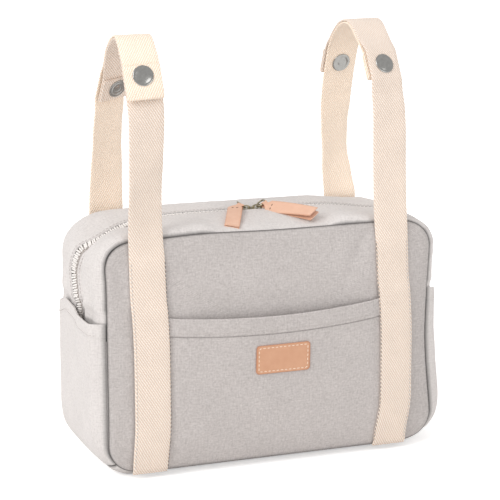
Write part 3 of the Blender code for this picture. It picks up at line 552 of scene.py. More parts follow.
stitch = {"length": 2.5 * mm, "pitch": 3.4 * mm, "width": 0.55 * mm, "height": 0.36 * mm}


def sew(name, frames, material, look, body="bag"):
    # A stitch at each frame: a thread that dips into the cloth at both ends
    deselectAll()
    bpy.ops.mesh.primitive_uv_sphere_add(segments=8, ring_count=6, radius=0.5)
    pattern = bpy.context.object
    quarterTurn("Y")
    resizeMesh((look["length"], look["width"], look["height"] * 2))
    row = copyInto(name, pattern, frames)
    bpy.data.objects.remove(pattern, do_unlink=True)
    finishPiece(row, material, body=body)


def stitchRow(name, spots, normals, material, look=stitch):
    # Even stitches along a row of points on a surface
    runs = travelled(spots)
    count = max(1, int(runs[-1] / look["pitch"]))
    frames = []
    k = 0
    for n in range(count):
        run = (n + 0.5) * runs[-1] / count
        while k < len(runs) - 2 and runs[k + 1] < run:
            k += 1
        share = (run - runs[k]) / max(1e-9, runs[k + 1] - runs[k])
        spot = spots[k].lerp(spots[k + 1], share)
        frames.append(frameFrom(spots[k + 1] - spots[k], normals[k].lerp(normals[k + 1], share), spot))
    sew(name, frames, material, look)


def normalOf(place, a, b, stepA, stepB):
    origin = place(a, b)
    return (place(a + stepA, b) - origin).cross(place(a, b + stepB) - origin).normalized()


view = {"lens": 158.4, "yaw": 20.51, "pitch": 12.92, "roll": -0.27, "place": (-0.641, -1.716, 0.587 + seamBottom)}

yaw, pitch, roll = (math.radians(view[key]) for key in ("yaw", "pitch", "roll"))
forward = Vector((math.sin(yaw) * math.cos(pitch), math.cos(yaw) * math.cos(pitch), -math.sin(pitch)))
right = Vector((math.cos(yaw), -math.sin(yaw), 0))
up = right.cross(forward)
tiltedRight = right * math.cos(roll) + up * math.sin(roll)
tiltedUp = up * math.cos(roll) - right * math.sin(roll)
cameraData = bpy.data.cameras.new("photoCamera")
cameraData.lens = view["lens"]
cameraData.sensor_width = 36
cameraData.clip_end = 20
camera = linked("photoCamera", cameraData)
camera.matrix_world = axesAt(tiltedRight, tiltedUp, -forward, view["place"])
scene.camera = camera

light = {"world": 0.8, "sun": 1.5, "sunAngle": 32, "from": (-0.78, -0.31, 0.6), "fill": 0.5,
         "fillFrom": (0.42, -0.9, 0.1), "floor": "F2F1F0", "glow": 0.45}

world = bpy.data.worlds.new("studio")
scene.world = world
world.use_nodes = True
tree = world.node_tree
path = addNode(tree, "LightPath")
plain = calc(tree, "MAXIMUM", path.outputs["Is Camera Ray"], path.outputs["Is Transmission Ray"])
strength = remap(tree, plain, 0.0, 1.0, light["world"], 1.0)
tree.links.new(strength, tree.nodes["Background"].inputs["Strength"])
tree.nodes["Background"].inputs["Color"].default_value = (1, 1, 1, 1)

for name, energy, origin in (("softboxLeft", light["sun"], light["from"]),
                             ("fillRight", light["fill"], light["fillFrom"])):
    sunData = bpy.data.lights.new(name, "SUN")
    sunData.energy = energy
    sunData.angle = math.radians(light["sunAngle"])
    sun = linked(name, sunData)
    sun.rotation_mode = "QUATERNION"
    sun.rotation_quaternion = Vector(origin).to_track_quat("Z", "Y")

deselectAll()
bpy.ops.mesh.primitive_plane_add(size=8, location=(0, 0, -0.0002))
floor = named("studioFloor")
floorPaper, tree, shader = newMaterial("matBackdropPaper", Roughness=0.95, Specular_IOR_Level=0.0)
shader.inputs["Base Color"].default_value = linearColour(light["floor"])
path = addNode(tree, "LightPath")
seen = calc(tree, "MAXIMUM", path.outputs["Is Camera Ray"], path.outputs["Is Glossy Ray"])
glow = addNode(tree, "Emission", {"Color": (1, 1, 1, 1), "Strength": calc(tree, "MULTIPLY", seen, light["glow"])})
both = addNode(tree, "AddShader", {0: shader.outputs[0], 1: glow.outputs[0]})
tree.links.new(both.outputs[0], tree.nodes["Material Output"].inputs["Surface"])
floor.data.materials.append(floorPaper)
print("camera and light set")


panels = {"columns": 104, "rows": 74, "swell": 0.8 * mm, "pucker": 0.28 * mm, "puckerPitch": 10.5 * mm}
edgeSteps = [step * mm for step in (0, 0.4, 0.8, 1.3, 1.9, 2.7, 3.8, 5.2)]

# folds of the front panel above the pocket: x1, z1, x2, z2, width, height in mm
frontFolds = [
    (84, 196, 66, 158, 5, -1.1), (60, 199, 50, 176, 4, -0.6), (92, 186, 80, 150, 6, 0.7),
    (-88, 197, -70, 170, 5, -0.7), (-30, 200, -36, 178, 5, -0.5), (10, 200, 14, 172, 6, -0.5),
    (-60, 160, 20, 152, 7, 0.5), (133, 185, 128, 150, 4, -0.6), (-134, 182, -129, 140, 4, -0.6),
]
backFolds = [(-84, 196, -60, 150, 6, -0.9), (40, 198, 52, 160, 6, -0.7), (-20, 60, 70, 40, 9, 0.6),
             (-120, 30, -80, 60, 7, -0.6), (120, 34, 86, 70, 7, -0.6)]


strap = {
    "width": 30 * mm, "thickness": 1.8 * mm, "x": 109 * mm, "sewnTop": 181 * mm,
    "edgeRound": 0.8 * mm, "scallop": 0.16 * mm, "scallopPitch": 2.6 * mm, "step": 1.8 * mm,
    "studFlat": 11 * mm, "footSway": {-1: -1.4 * mm, 1: -3.6 * mm}, "topSway": {-1: -2.2 * mm, 1: -3.2 * mm},
}


def strapClear(x):
    # 0 under the sewn straps, 1 away from them
    return smooth((abs(abs(x) - strap["x"]) - 16 * mm) / (7 * mm))


def panelFace(x, z, facing):
    depth = panelDepth(x, z)
    edge = edgeDistance(x, z)
    seed = 3.1 if facing < 0 else 8.4
    free = strapClear(x) * smooth(edge / (12 * mm))
    if facing < 0:
        free *= smooth((z - 132 * mm) / (20 * mm)) if abs(x) < 100 * mm else 1.0
    depth += free * panels["swell"] * ripple(x, z * 1.3, seed, 48 * mm)
    depth += free * 0.25 * mm * ripple(x * 1.4, z, seed + 5, 14 * mm)
    depth += free * creaseAt(x, z, frontFolds if facing < 0 else backFolds)
    pull = panels["pucker"] * math.sin(2 * math.pi * (x + z) / panels["puckerPitch"] + 2 * ripple(x, z, seed, 30 * mm))
    depth += pull * math.exp(-edge / (6 * mm)) * smooth(edge / (2 * mm)) * strapClear(x)
    return depth - seamDrop(edge)


def makePanel(name, facing, node):
    def place(u, v):
        x, z = roundedPoint(u, v, bag["width"] / 2 - 0.4 * mm, bag["height"] / 2 - 0.4 * mm, bag["corner"])
        depth = panelFace(-facing * x, seamMiddle + z, facing)
        return settle(Vector((-facing * x, facing * depth, seamMiddle + z)))

    def closer(count, half):
        # Grid lines that crowd towards both edges
        fine = [1 - step / half for step in edgeSteps]
        inner = 1 - 7 * mm / half
        return [-t for t in fine] + spread(-inner, inner, count) + fine[::-1]

    def shadeAt(u, v):
        x, z = roundedPoint(u, v, bag["width"] / 2, bag["height"] / 2, bag["corner"])
        edge = edgeDistance(x, seamMiddle + z)
        return seamShade(edge) + 0.09 * math.exp(-max(0.0, edge) / (15 * mm))

    piece = clothSheet(name, closer(panels["columns"], bag["width"] / 2), closer(panels["rows"], bag["height"] / 2),
                       place, bag["cloth"], shadeAt)
    finishPiece(piece, canvas, node)


makePanel("frontPanelCloth", -1, "front_panel")
makePanel("backPanelCloth", 1, "back_panel")
print("panels made")


gusset = {
    "slot": 2.95 * mm,         # half the width left open for the zip
    "dip": 0.8 * mm,           # the cloth turns down beside the teeth
    "tilt": 0.62,              # how steeply the zip turns to the front on the left side
    "joinHeight": 114 * mm, "pocketMouth": 134 * mm, "underPocket": 2.3 * mm,
}
joinZ = seamBottom + gusset["joinHeight"]
mouthZ = seamBottom + gusset["pocketMouth"]

# folds as s1, y1, s2, y2, width, height in mm; s runs from the top middle, left is negative
gussetFolds = [
    (-148, -13, -204, -13, 2.2, -0.9), (-152, -19, -206, -18, 2.4, -1.1), (-168, -34, -212, -22, 2.6, 1.6),
    (-178, -42, -212, -34, 4, -1.1), (-170, -24, -206, -22, 2.4, -0.9), (-128, -30, -150, -42, 4, -0.6),
    (-60, -20, -20, -34, 6, -0.7), (-40, -46, 30, -44, 5, 0.5), (40, -22, 92, -30, 6, -0.8),
    (60, -42, 110, -30, 5, 0.6),
    (-80, 30, -20, 24, 7, -0.6), (20, 30, 90, 36, 7, -0.6), (140, -16, 190, -18, 3, -1.0),
    (150, 20, 196, 24, 4, -0.9), (-150, 20, -196, 22, 4, -1.0), (168, -34, 198, -26, 3, 0.9),
    (165, 34, 198, 26, 3, 0.9), (-165, 36, -200, 24, 3, 0.9),
]


def underPocket(s):
    z, outX = outline(s)[1:3]
    return -gusset["underPocket"] * smooth((mouthZ + 8 * mm - z) / (8 * mm)) if outX else 0.0


def zipTurn(s, y):
    # On the left side the cloth sinks in front of the zip, so that its teeth face the front
    share = smooth((-s - 96 * mm) / (30 * mm))
    slope = gusset["tilt"] * (y - 1.5 * mm) * (0.15 if y > 1.5 * mm else 1.0)
    return share * slope * smooth((25 * mm - abs(y)) / (19 * mm))


# how far the zip wanders to the front on the left, as s and y in mm
zipPath = [(-300, -4), (-205, -4), (-190, -2), (-170, 4), (-152, -3), (-138, -12), (-120, -9), (-90, -3),
           (-60, 0), (300, 0)]


def drift(s, y):
    for (s1, y1), (s2, y2) in zip(zipPath, zipPath[1:]):
        if s <= s2 * mm:
            path = y1 + (y2 - y1) * smooth((s - s1 * mm) / ((s2 - s1) * mm))
            break
    return y + path * mm * smooth((53 * mm - abs(y)) / (46 * mm))


def bandPoint(s, y, lift):
    return gussetPoint(s, drift(s, y), lift + zipTurn(s, y))


sidePocket = {
    "mouthLow": 128.5 * mm, "mouthRise": 6 * mm, "standoff": 4 * mm, "belly": 2 * mm, "hem": 11 * mm,
    "hemStep": 0.12 * mm, "stitchIn": 9.5 * mm,
    "rightGape": 0.4,          # the right pocket stands off less
}


def sideMouth(side, y):
    # The left mouth climbs from front to back, the right one sags in the middle
    across = y / halfDepth
    left = seamBottom + sidePocket["mouthLow"] + sidePocket["mouthRise"] * smooth((y + 42 * mm) / (75 * mm))
    left -= 8 * mm * smooth((y - 18 * mm) / (32 * mm))
    return left if side < 0 else mouthZ - 9 * mm * (1 - across * across)


def mouthShade(s, y):
    # Dark below the mouth of a side pocket, where little light comes in
    return 0.75 * smooth((sideMouth(s, y) + 2 * mm - outline(s)[1]) / (2.5 * mm))


def bandFace(s, y):
    # Lift of the band's cloth off the plain gusset form
    seam = halfDepth - abs(y)
    free = smooth(seam / (10 * mm)) * smooth((abs(y) - gusset["slot"]) / (9 * mm))
    lift = underPocket(s) - seamDrop(seam)
    lift += free * 0.6 * mm * ripple(s, y * 1.4, 2.7, 30 * mm) + free * 0.2 * mm * ripple(s * 1.6, y, 6.1, 11 * mm)
    lift += free * creaseAt(s, y, gussetFolds)
    lift -= gusset["dip"] * smooth((5.2 * mm - abs(y)) / (2 * mm))
    pull = 0.3 * mm * math.sin(2 * math.pi * s / (11 * mm) + 3 * ripple(s, y, 4.0, 25 * mm))
    return lift + pull * math.exp(-seam / (6 * mm)) * smooth(seam / (2 * mm))


def crowded(start, end, count, first, last):
    # Stations with finer steps at both ends, first and last being the fine lengths
    inner = start + math.copysign(first, end - start)
    outer = end - math.copysign(last, end - start)
    return spread(start, inner, 6)[:-1] + spread(inner, outer, count) + spread(outer, end, 6)[1:]


def sheetShade(y):
    return 0.9 * seamShade(halfDepth - abs(y))


def makeGussetSheet(name, node, *form, **settings):
    makeSheet(name, node, litGussetCanvas, "gusset_canvas", *form, **settings)


bandEnd = runAtHeight(joinZ)
seamIn = 0.15 * mm
for name, node, side in (("topBandFrontCloth", "top_band_front", -1), ("topBandBackCloth", "top_band_back", 1)):
    rows = crowded(side * (halfDepth - seamIn), side * gusset["slot"], 26, 4 * mm, 5 * mm)
    zipShade = 0.25 if side < 0 else 0.9
    makeGussetSheet(name, node, spread(-bandEnd, bandEnd, 240), rows if side < 0 else rows[::-1],
                    lambda s, y: bandPoint(s, y, bandFace(s, y)),
                    shadeAt=lambda s, y: sheetShade(y) + 0.7 * mouthShade(s, y)
                    + zipShade * math.exp(-(abs(y) - gusset["slot"]) / (0.7 * mm)))

joint = 0.2 * mm
cornerRun = runAtHeight(seamBottom + bag["corner"]) + bag["corner"] * math.pi / 4
fullRows = crowded(seamIn - halfDepth, halfDepth - seamIn, 44, 4 * mm, 4 * mm)
for name, node, side in (("sideBandLeftCloth", "side_band_left", -1), ("sideBandRightCloth", "side_band_right", 1)):
    runs = spread(side * (runAtHeight(joinZ) + joint), side * (cornerRun - joint), 60)[::side]
    makeGussetSheet(name, node, runs, fullRows,
                    lambda s, y: gussetPoint(s, y, underPocket(s) - seamDrop(halfDepth - abs(y))))

bottomHalf = flatX + bag["corner"] * math.pi / 4 - joint
totalRun = runAtHeight(seamBottom + bag["corner"]) + arcLength + flatX


def bottomPoint(x, y):
    ends = bottomHalf + joint - abs(x)
    drop = seamDrop(halfDepth - abs(y)) + 0.8 * seamDrop(ends * 1.5)
    return gussetPoint(math.copysign(totalRun - abs(x), x), y, -drop)


makeGussetSheet("bottomCloth", "bottom_band", spread(bottomHalf, -bottomHalf, 150), fullRows, bottomPoint,
                shadeAt=lambda x, y: max(sheetShade(y), 0.9 * seamShade(bottomHalf - abs(x))))
print("gusset made")


sideFolds = [
    (-30, 20, -8, 34, 4, -1.2), (-44, 30, -22, 50, 5, -0.9), (26, 24, 6, 44, 5, -1.0), (38, 46, 22, 76, 6, -0.7),
    (-8, 60, -16, 104, 7, 0.8), (-40, 84, -46, 118, 4, -0.8), (12, 80, 20, 118, 6, -0.5), (44, 90, 40, 122, 4, -0.7),
]


def sidePocketPoint(side, t, y):
    # t runs 0 to 1 up to the hem's lower edge and 1 to 2 over the hem
    bottom = cornerRun - 0.6 * mm
    top = runAtHeight(sideMouth(side, y))
    hem = sidePocket["hem"]
    if t <= 1:
        run = bottom + (top + hem - bottom) * t
    else:
        run = top + hem * (2 - t)
    up = (bottom - run) / (bottom - top)
    gape = sidePocket["standoff"] * (1.0 if side < 0 else sidePocket["rightGape"])
    gape *= 1 - 0.75 * smooth((y + 24 * mm) / (24 * mm))
    standoff = sidePocket["belly"] * smooth(up / 0.3) + (gape - sidePocket["belly"]) * up
    seam = halfDepth - abs(y)
    free = smooth(seam / (9 * mm)) * smooth(up / 0.12)
    height = (bottom - run)
    lift = -seamDrop(seam) - 0.8 * seamDrop(height * 1.2)
    lift += free * (0.5 * mm * ripple(y, height, 5.5 + side, 26 * mm) + 0.15 * mm * ripple(y, height, 9.5, 9 * mm))
    lift += free * creaseAt(y * (1 if side < 0 else -1), height, sideFolds)
    lift += sidePocket["hemStep"] * smooth((t - 0.985) / 0.03) * smooth(seam / (3 * mm))
    lift -= 0.5 * mm * smooth((t - 1.93) / 0.07)
    return gussetPoint(side * run, y, lift, standoff)


hemRows = [0.985, 0.992, 1.0, 1.008] + spread(1.05, 1.9, 6) + [1.94, 1.97, 1.99, 2]
for end, side in (("Left", -1), ("Right", 1)):
    rows = [0, 0.006, 0.014, 0.025, 0.04] + spread(0.06, 0.96, 44) + hemRows
    place = lambda t, y, side=side: sidePocketPoint(side, t, y)
    makeGussetSheet("sidePocket" + end, "side_pocket_" + end.lower(), rows[::-side], fullRows, place,
                    shadeAt=lambda t, y: max(sheetShade(y), 0.9 * seamShade(t * 120 * mm))
                    + 0.08 * math.exp(-((t - 0.995) / 0.006) ** 2))
    ys = spread(-52 * mm, 52 * mm, 60)
    level = 2 - sidePocket["stitchIn"] / sidePocket["hem"]
    stitchRow("sideHemStitches" + end, [place(level, y) for y in ys], [Vector((side, 0, 0))] * len(ys), greyThread)
print("side pockets made")


frontPocket = {
    "mouth": 132 * mm, "sag": 5 * mm, "gape": 7 * mm, "half": 100 * mm, "openHalf": 93.7 * mm,
    "hem": 15 * mm, "hemStep": 0.75 * mm, "stitchUp": 2.6 * mm,
}
pocketFolds = [
    (-88, 20, -50, 44, 7, 0.6), (86, 18, 52, 40, 7, 0.6), (-70, 100, -30, 84, 8, 0.35), (84, 108, 50, 76, 8, 0.4),
    (-20, 24, 30, 20, 7, 0.4), (-90, 70, -84, 30, 5, 0.4),
]


def frontMouth(x):
    across = x / frontPocket["half"]
    return seamBottom + frontPocket["mouth"] - frontPocket["sag"] * (1 - across * across)


def pocketFace(x, z):
    # Outer face of the slip pocket as a distance from the bag's middle
    freeShare = max(0.0, 1 - (x / frontPocket["openHalf"]) ** 2)
    mouth = frontMouth(x)
    up = max(0.0, (z - seamBottom) / (mouth - seamBottom))
    gape = frontPocket["gape"] * freeShare * up ** 1.6
    free = smooth((93 * mm - abs(x)) / (8 * mm)) * smooth((z - seamBottom) / (14 * mm))
    swell = 0.5 * mm * (1 + ripple(x, z, 12.3, 44 * mm)) + 0.14 * mm * ripple(x, z, 15.0, 13 * mm)
    swell += creaseAt(x, z - seamBottom, pocketFolds)
    hemLine = mouth - frontPocket["hem"]
    step = frontPocket["hemStep"] * smooth((z - hemLine + 0.3 * mm) / (0.6 * mm))
    lip = 0.7 * mm * smooth((z - mouth + 1.0 * mm) / (1.0 * mm))
    drop = seamDrop(z - seamBottom) * 0.9
    return panelDepth(x, z) + bag["gap"] + bag["cloth"] + gape + free * swell + step - lip - drop


def pocketPoint(x, t):
    low = seamBottom + 0.4 * mm
    hemLine = frontMouth(x) - frontPocket["hem"]
    z = low + (hemLine - low) * t if t <= 1 else hemLine + frontPocket["hem"] * (t - 1)
    return Vector((x, -pocketFace(x, z), z))


rows = [0, 0.006, 0.014, 0.025, 0.045] + spread(0.06, 0.985, 62) + [0.993, 0.9965, 1.0, 1.01, 1.02, 1.03]
rows += spread(1.06, 1.92, 9) + [1.94, 1.96, 1.98, 2]
makeSheet("frontSlipPocket", "front_pocket", canvas, "canvas", spread(-99.5 * mm, 99.5 * mm, 120), rows, pocketPoint,
          shadeAt=lambda x, t: 0.55 * math.exp(-((t - 0.994) / 0.0035) ** 2) + 0.8 * math.exp(-t / 0.008))
xs = spread(-92 * mm, 92 * mm, 90)
level = 1 + frontPocket["stitchUp"] / frontPocket["hem"]
stitchRow("pocketHemStitches", [pocketPoint(x, level) for x in xs], [Vector((0, -1, 0))] * len(xs), greyThread)
print("front pocket made")


label = {
    "width": 48 * mm, "height": 25 * mm, "thickness": 1.2 * mm, "x": 3.5 * mm, "z": seamBottom + 89.5 * mm,
    "corner": 3 * mm, "seamIn": 2.3 * mm,
}
labelStitch = {"length": 2.5 * mm, "pitch": 3.6 * mm, "width": 0.75 * mm, "height": 0.4 * mm}


def labelPoint(u, v, inset=0.0, lift=0.0):
    x, z = roundedPoint(u, v, label["width"] / 2 - inset, label["height"] / 2 - inset, label["corner"] - inset * 0.4)
    corner = label["corner"]
    edge = distanceIn(x, z, label["width"] / 2 - corner, label["height"] / 2 - corner, corner)
    x, z = label["x"] + x, label["z"] + z
    reach = max(abs(u), abs(v))
    rounding = 0.45 * mm * smooth((reach - 0.93) / 0.07) ** 2 if inset == 0 else 0.0
    groove = 0.25 * mm * math.exp(-((edge - label["seamIn"]) / (0.6 * mm)) ** 2)
    return Vector((x, -pocketFace(x, z) - bag["gap"] - label["thickness"] + rounding + groove - lift, z))


lines = [-1, -0.985, -0.965] + spread(-0.94, 0.94, 52) + [0.965, 0.985, 1]
piece = clothSheet("leatherLabel", lines, lines, labelPoint, label["thickness"],
                   lambda u, v: 0.9 * smooth((max(abs(u), abs(v)) - 0.92) / 0.08), smoothAngle=60)
finishPiece(piece, labelLeather, "leather_label")
ring = [(-1, v) for v in spread(-1, 1, 30)] + [(u, 1) for u in spread(-1, 1, 60)][1:]
ring += [(1, v) for v in spread(1, -1, 30)][1:] + [(u, -1) for u in spread(1, -1, 60)][1:]
spots = [labelPoint(u, v, label["seamIn"], 0.05 * mm) for u, v in ring]
stitchRow("labelStitches", spots, [Vector((0, -1, 0))] * len(spots), creamThread, labelStitch)
print("label made")


zipper = {
    "chainWidth": 5.2 * mm, "toothPitch": 2.0 * mm, "toothLength": 1.6 * mm, "toothHeight": 1.6 * mm,
    "depth": 0.55 * mm, "sliderDepth": 1.0 * mm, "tapeReach": 14 * mm, "tapeThickness": 0.6 * mm,
    "tapeGap": 0.6 * mm, "toothOffset": 0.3 * mm, "topstitchIn": 2.6 * mm,
}
tapeRows = [y * mm for y in (0.15, 1.2, 2.4, 3.2, 4.2, 6, 9)] + [zipper["tapeReach"]]
for name, node, side in (("zipTapeFront", "zip_tape_front", -1), ("zipTapeBack", "zip_tape_back", 1)):
    makeSheet(name, node, tapeCloth, "zip_tape", spread(joint - bandEnd, bandEnd - joint, 200),
              [-y for y in tapeRows[::-1]] if side < 0 else tapeRows,
              lambda s, y: bandPoint(s, y, underPocket(s) - bag["cloth"] - zipper["tapeGap"]),
              zipper["tapeThickness"])

# one coil of the nylon chain: a flat bar with rounded ends that grips its partner at the middle
deselectAll()
bpy.ops.mesh.primitive_cube_add(size=1)
tooth = bpy.context.object
resizeMesh((zipper["toothLength"], zipper["chainWidth"] * 0.9, zipper["toothHeight"]))
editWhole((bpy.ops.mesh.bevel, {"offset": 0.4 * mm, "segments": 2, "affect": "EDGES"}))


def chainSpot(s, y=0.0, depth=0.0):
    return bandPoint(s, y, underPocket(s) - depth)


def chainFrames(half):
    # Every second tooth belongs to one tape
    found = []
    s = -bandEnd + 2 * mm
    here = chainSpot(s)
    gone, number = 0.0, 0
    while s < bandEnd - 2 * mm:
        s += 0.25 * mm
        ahead = chainSpot(s)
        gone += (ahead - here).length
        here = ahead
        if gone < zipper["toothPitch"]:
            continue
        gone = 0.0
        number += 1
        if number % 2 == half:
            along = chainSpot(s + 0.5 * mm) - chainSpot(s - 0.5 * mm)
            across = chainSpot(s, 1 * mm) - chainSpot(s, -1 * mm)
            normal = along.cross(across)
            if normal.dot(Vector((outline(s)[2], 0, outline(s)[3]))) < 0:
                normal.negate()
            centre = chainSpot(s, (-1 if half else 1) * zipper["toothOffset"])
            centre -= normal.normalized() * (zipper["depth"] + zipper["toothHeight"] / 2)
            found.append(frameFrom(along, normal, centre))
    return found


for end, node, half in (("Front", "zip_chain_front", 1), ("Back", "zip_chain_back", 0)):
    finishPiece(copyInto("zipTeeth" + end, tooth, chainFrames(half)), coilNylon, node)
bpy.data.objects.remove(tooth, do_unlink=True)
for end, side in (("Front", -1), ("Back", 1)):
    runs = spread(-bandEnd + 6 * mm, bandEnd - 6 * mm, 300)
    y = side * (gusset["slot"] + zipper["topstitchIn"])
    face = lambda a, b: bandPoint(a, b, bandFace(a, b))
    normals = [normalOf(face, s, y, 0.5 * mm, -0.5 * mm) for s in runs]
    stitchRow("zipTopstitch" + end, [face(s, y) for s in runs], normals, greyThread)
print("zip made")


pulls = {
    "ringRadius": 4 * mm, "wire": 0.7 * mm, "length": 52 * mm, "width": 12.5 * mm, "neck": 5.4 * mm,
    "leather": 1.1 * mm, "eye": 1.3 * mm, "eyeShift": 0.25 * mm, "meet": 2 * mm, "sliderLength": 11 * mm,
    # ring tilt, place round it, droop, twist at both ends, spread of the two layers, sway at both ends
    "left": (22, 66, 17, 24, 12, 0.2 * mm, 4.4 * mm, 0),
    "right": (22, 60, 13.5, 32, 4, 1.6 * mm, 3 * mm, 0.6 * mm), "ringTilt": 38,
}
pullStitch = {"length": 2.2 * mm, "width": 0.8 * mm, "height": 0.45 * mm}
bridge = {"radius": 4.2 * mm, "wire": 0.55 * mm, "flatten": 0.62, "shift": -0.6 * mm, "lift": -0.9 * mm}
sliderPlate = 0.8 * mm
wireZ = seamTop + bag["topCrown"] - zipper["sliderDepth"] + bag["gap"] + sliderPlate + bag["gap"] + pulls["wire"]


def ringHub(heading):
    nose = pulls["meet"] + heading * bag["gap"] / 2
    return Vector((nose + heading * pulls["sliderLength"] / 2, 0, wireZ))


def pullFrame(side, heading):
    tilt, bearing, droop = (math.radians(angle) for angle in pulls[side][:3])
    reach = Vector((heading * math.cos(tilt), 0, math.sin(tilt)))
    ringCentre = ringHub(heading) + reach * pulls["ringRadius"]
    spoke = reach * math.cos(bearing) + Vector((0, -1, 0)) * math.sin(bearing)
    wire = Vector((0, -1, 0)) * math.cos(bearing) - reach * math.sin(bearing)
    if wire.cross(spoke).z < 0:
        wire.negate()
    lift = wire.cross(spoke).normalized()
    along = (spoke * math.cos(droop) - lift * math.sin(droop)).normalized()
    anchor = ringCentre + spoke * (pulls["ringRadius"] - pulls["eyeShift"])
    return anchor, along, wire, wire.cross(along).normalized()


def pullSpot(side, heading, distance, height, across):
    # A point on the leather, distance out from the ring
    anchor, along, wire, normal = pullFrame(side, heading)
    twistStart, twistEnd = pulls[side][3:5]
    swayStart, swayEnd = pulls[side][6:]
    share = max(0.0, distance) / pulls["length"]
    eased = smooth(distance / (7 * mm))
    turn = Matrix.Rotation(math.radians(twistStart + (twistEnd - twistStart) * share) * eased, 3, along)
    sway = (swayStart + (swayEnd - swayStart) * share) * eased
    curl = normal * (1.1 * mm * math.sin(math.pi * min(1.0, share)))
    return anchor + along * distance + turn @ normal * height + turn @ wire * (across + sway) + curl


def makePull(side, heading):
    part = pulls[side][5]
    eye = pulls["eye"] + pulls["leather"] / 2
    layer = (pulls["leather"] + bag["gap"]) / 2
    neckEnd, shoulder = 2.6 * mm, 6.8 * mm
    profile = []
    for share in spread(1, 0, 22):
        distance = shoulder + (pulls["length"] - shoulder) * share
        profile.append((distance, layer + part * share ** 2, pulls["width"], 0, 1))
    for share in (0.84, 0.67, 0.5, 0.33, 0.16, 0):
        distance = neckEnd + (shoulder - neckEnd) * share
        width = pulls["neck"] + (pulls["width"] - pulls["neck"]) * smooth(share) * 0.92
        profile.append((distance, layer, width, 0, 1))
    for degrees in (52, 74, 98, 122, 146, 168):
        angle = math.radians(degrees)
        outX, outY = math.cos(angle), math.sin(angle)
        profile.append((eye * outX, eye * outY, pulls["neck"], outX, outY))
    profile += [(d, -h, w, ox, -oy) for d, h, w, ox, oy in reversed(profile)]
    lines = [-1, -0.94, -0.8, -0.4, 0, 0.4, 0.8, 0.94, 1]

    def place(i, v):
        distance, height, width, outX, outY = profile[i]
        half = pulls["leather"] / 2
        rounding = 0.2 * mm * smooth((abs(v) - 0.85) / 0.15)
        out = half - rounding
        return pullSpot(side, heading, distance + outX * out, height + outY * out, v * width / 2)

    piece = clothSheet("leatherPull" + side.title(), range(len(profile)), lines, place, pulls["leather"],
                       lambda i, v: 0.5 * smooth((abs(v) - 0.8) / 0.2), smoothAngle=60)
    useOnly(piece)
    editWhole(outwards)
    finishPiece(piece, pullLeather, "zip_pull_" + side, "zip_pull_" + side)
    normal = pullFrame(side, heading)[-1]
    frames = []
    for across in (-1.9 * mm, 1.9 * mm):
        spot, onward = (pullSpot(side, heading, 9 * mm, layer + pulls["leather"] / 2, a)
                        for a in (across, across + mm))
        frames.append(frameFrom(onward - spot, normal, spot))
    sew("pullStitches" + side.title(), frames, brownThread, pullStitch, "zip_pull_" + side)


def wireRing(name, radius, wire, around, across):
    deselectAll()
    bpy.ops.mesh.primitive_torus_add(major_radius=radius, minor_radius=wire,
                                     major_segments=around, minor_segments=across)
    return named(name)


for side, heading in (("left", -1), ("right", 1)):
    tilt = math.radians(pulls["ringTilt"])
    hub = ringHub(heading)
    ringCentre = hub + Vector((heading * math.cos(tilt), 0, math.sin(tilt))) * pulls["ringRadius"]
    ring = wireRing("zipRing" + side.title(), pulls["ringRadius"], pulls["wire"], 56, 16)
    ring.matrix_world = Matrix.Translation(ringCentre) @ Matrix.Rotation(-heading * tilt, 4, "Y")
    bpy.ops.object.transform_apply(location=True, rotation=True, scale=True)
    bpy.ops.object.shade_smooth()
    finishPiece(ring, brass, "zip_ring_" + side, "zip_ring_" + side)
    makePull(side, heading)
    # the bridge that the ring hangs in: half of a flattened ring over the slider
    arch = wireRing("sliderBridge" + side.title(), bridge["radius"], bridge["wire"], 48, 12)
    quarterTurn("X")
    resizeMesh((1, 1.8, bridge["flatten"]))
    editWhole((bpy.ops.mesh.bisect, {"plane_co": (0, 0, -0.4 * mm), "plane_no": (0, 0, 1),
                                     "use_fill": True, "clear_inner": True}))
    arch.location = hub + Vector((heading * bridge["shift"], 0, bridge["lift"]))
    bpy.ops.object.transform_apply(location=True, rotation=False, scale=False)
    bpy.ops.object.shade_smooth_by_angle(angle=math.radians(50))
    finishPiece(arch, brass, body="zip_slider_" + side)
    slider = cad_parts["zip_slider_" + side]
    slider.data.materials.clear()
    slider.data.materials.append(brass)
print("sliders, rings and pulls made")


# across, depth, height above the top seam in mm, turn in degrees, from the front strap over to the back one
loopPaths = {
    "left": [
        (-111.2, -58.7, 1, 3), (-111, -57.5, 17, 8), (-110.5, -58, 41, 12), (-109.6, -59, 71, 6),
        (-109, -59, 101, -1), (-109.5, -56.5, 117, -6), (-110, -51, 133, -9), (-110, -43, 148, -8),
        (-110, -31, 160.5, -4), (-109, -15, 158.5, 0), (-108, 2, 149, 6), (-107, 14, 138, 14),
        (-107, 24, 123, 20), (-108, 34, 105, 22), (-109, 43, 85, 22), (-109, 50, 63, 20),
        (-109, 56, 33, 10), (-109, 58, 15, 3), (-109, 58.8, 1, 0),
    ],
    "right": [
        (105.8, -58.7, 1, 0), (106.4, -55.5, 15, 0), (108, -50.5, 41, 0), (109, -47, 71, 0),
        (109, -44, 93, 3), (108.5, -39, 109, 8), (108, -32, 124, 12), (108, -22, 139, 10),
        (108.5, -9, 149.5, 4), (109, 8, 159, 0), (109, 25, 157, 0), (109, 40, 148, 2),
        (109, 51, 137, 5), (109, 58.5, 121, 6), (109, 65, 103, 6), (109, 70, 83, 8),
        (109, 73, 61, 18), (109, 72, 39, 22), (109, 66, 17, 10), (109, 60.5, 1, 0),
    ],
}
loopStuds = {"left": (132 * mm, 114 * mm), "right": (127 * mm, 119 * mm)}
loopHems = {"left": ((16 * mm, 25 * mm), (10 * mm, 20 * mm)), "right": ((10 * mm, 20 * mm), (10 * mm, 20 * mm))}
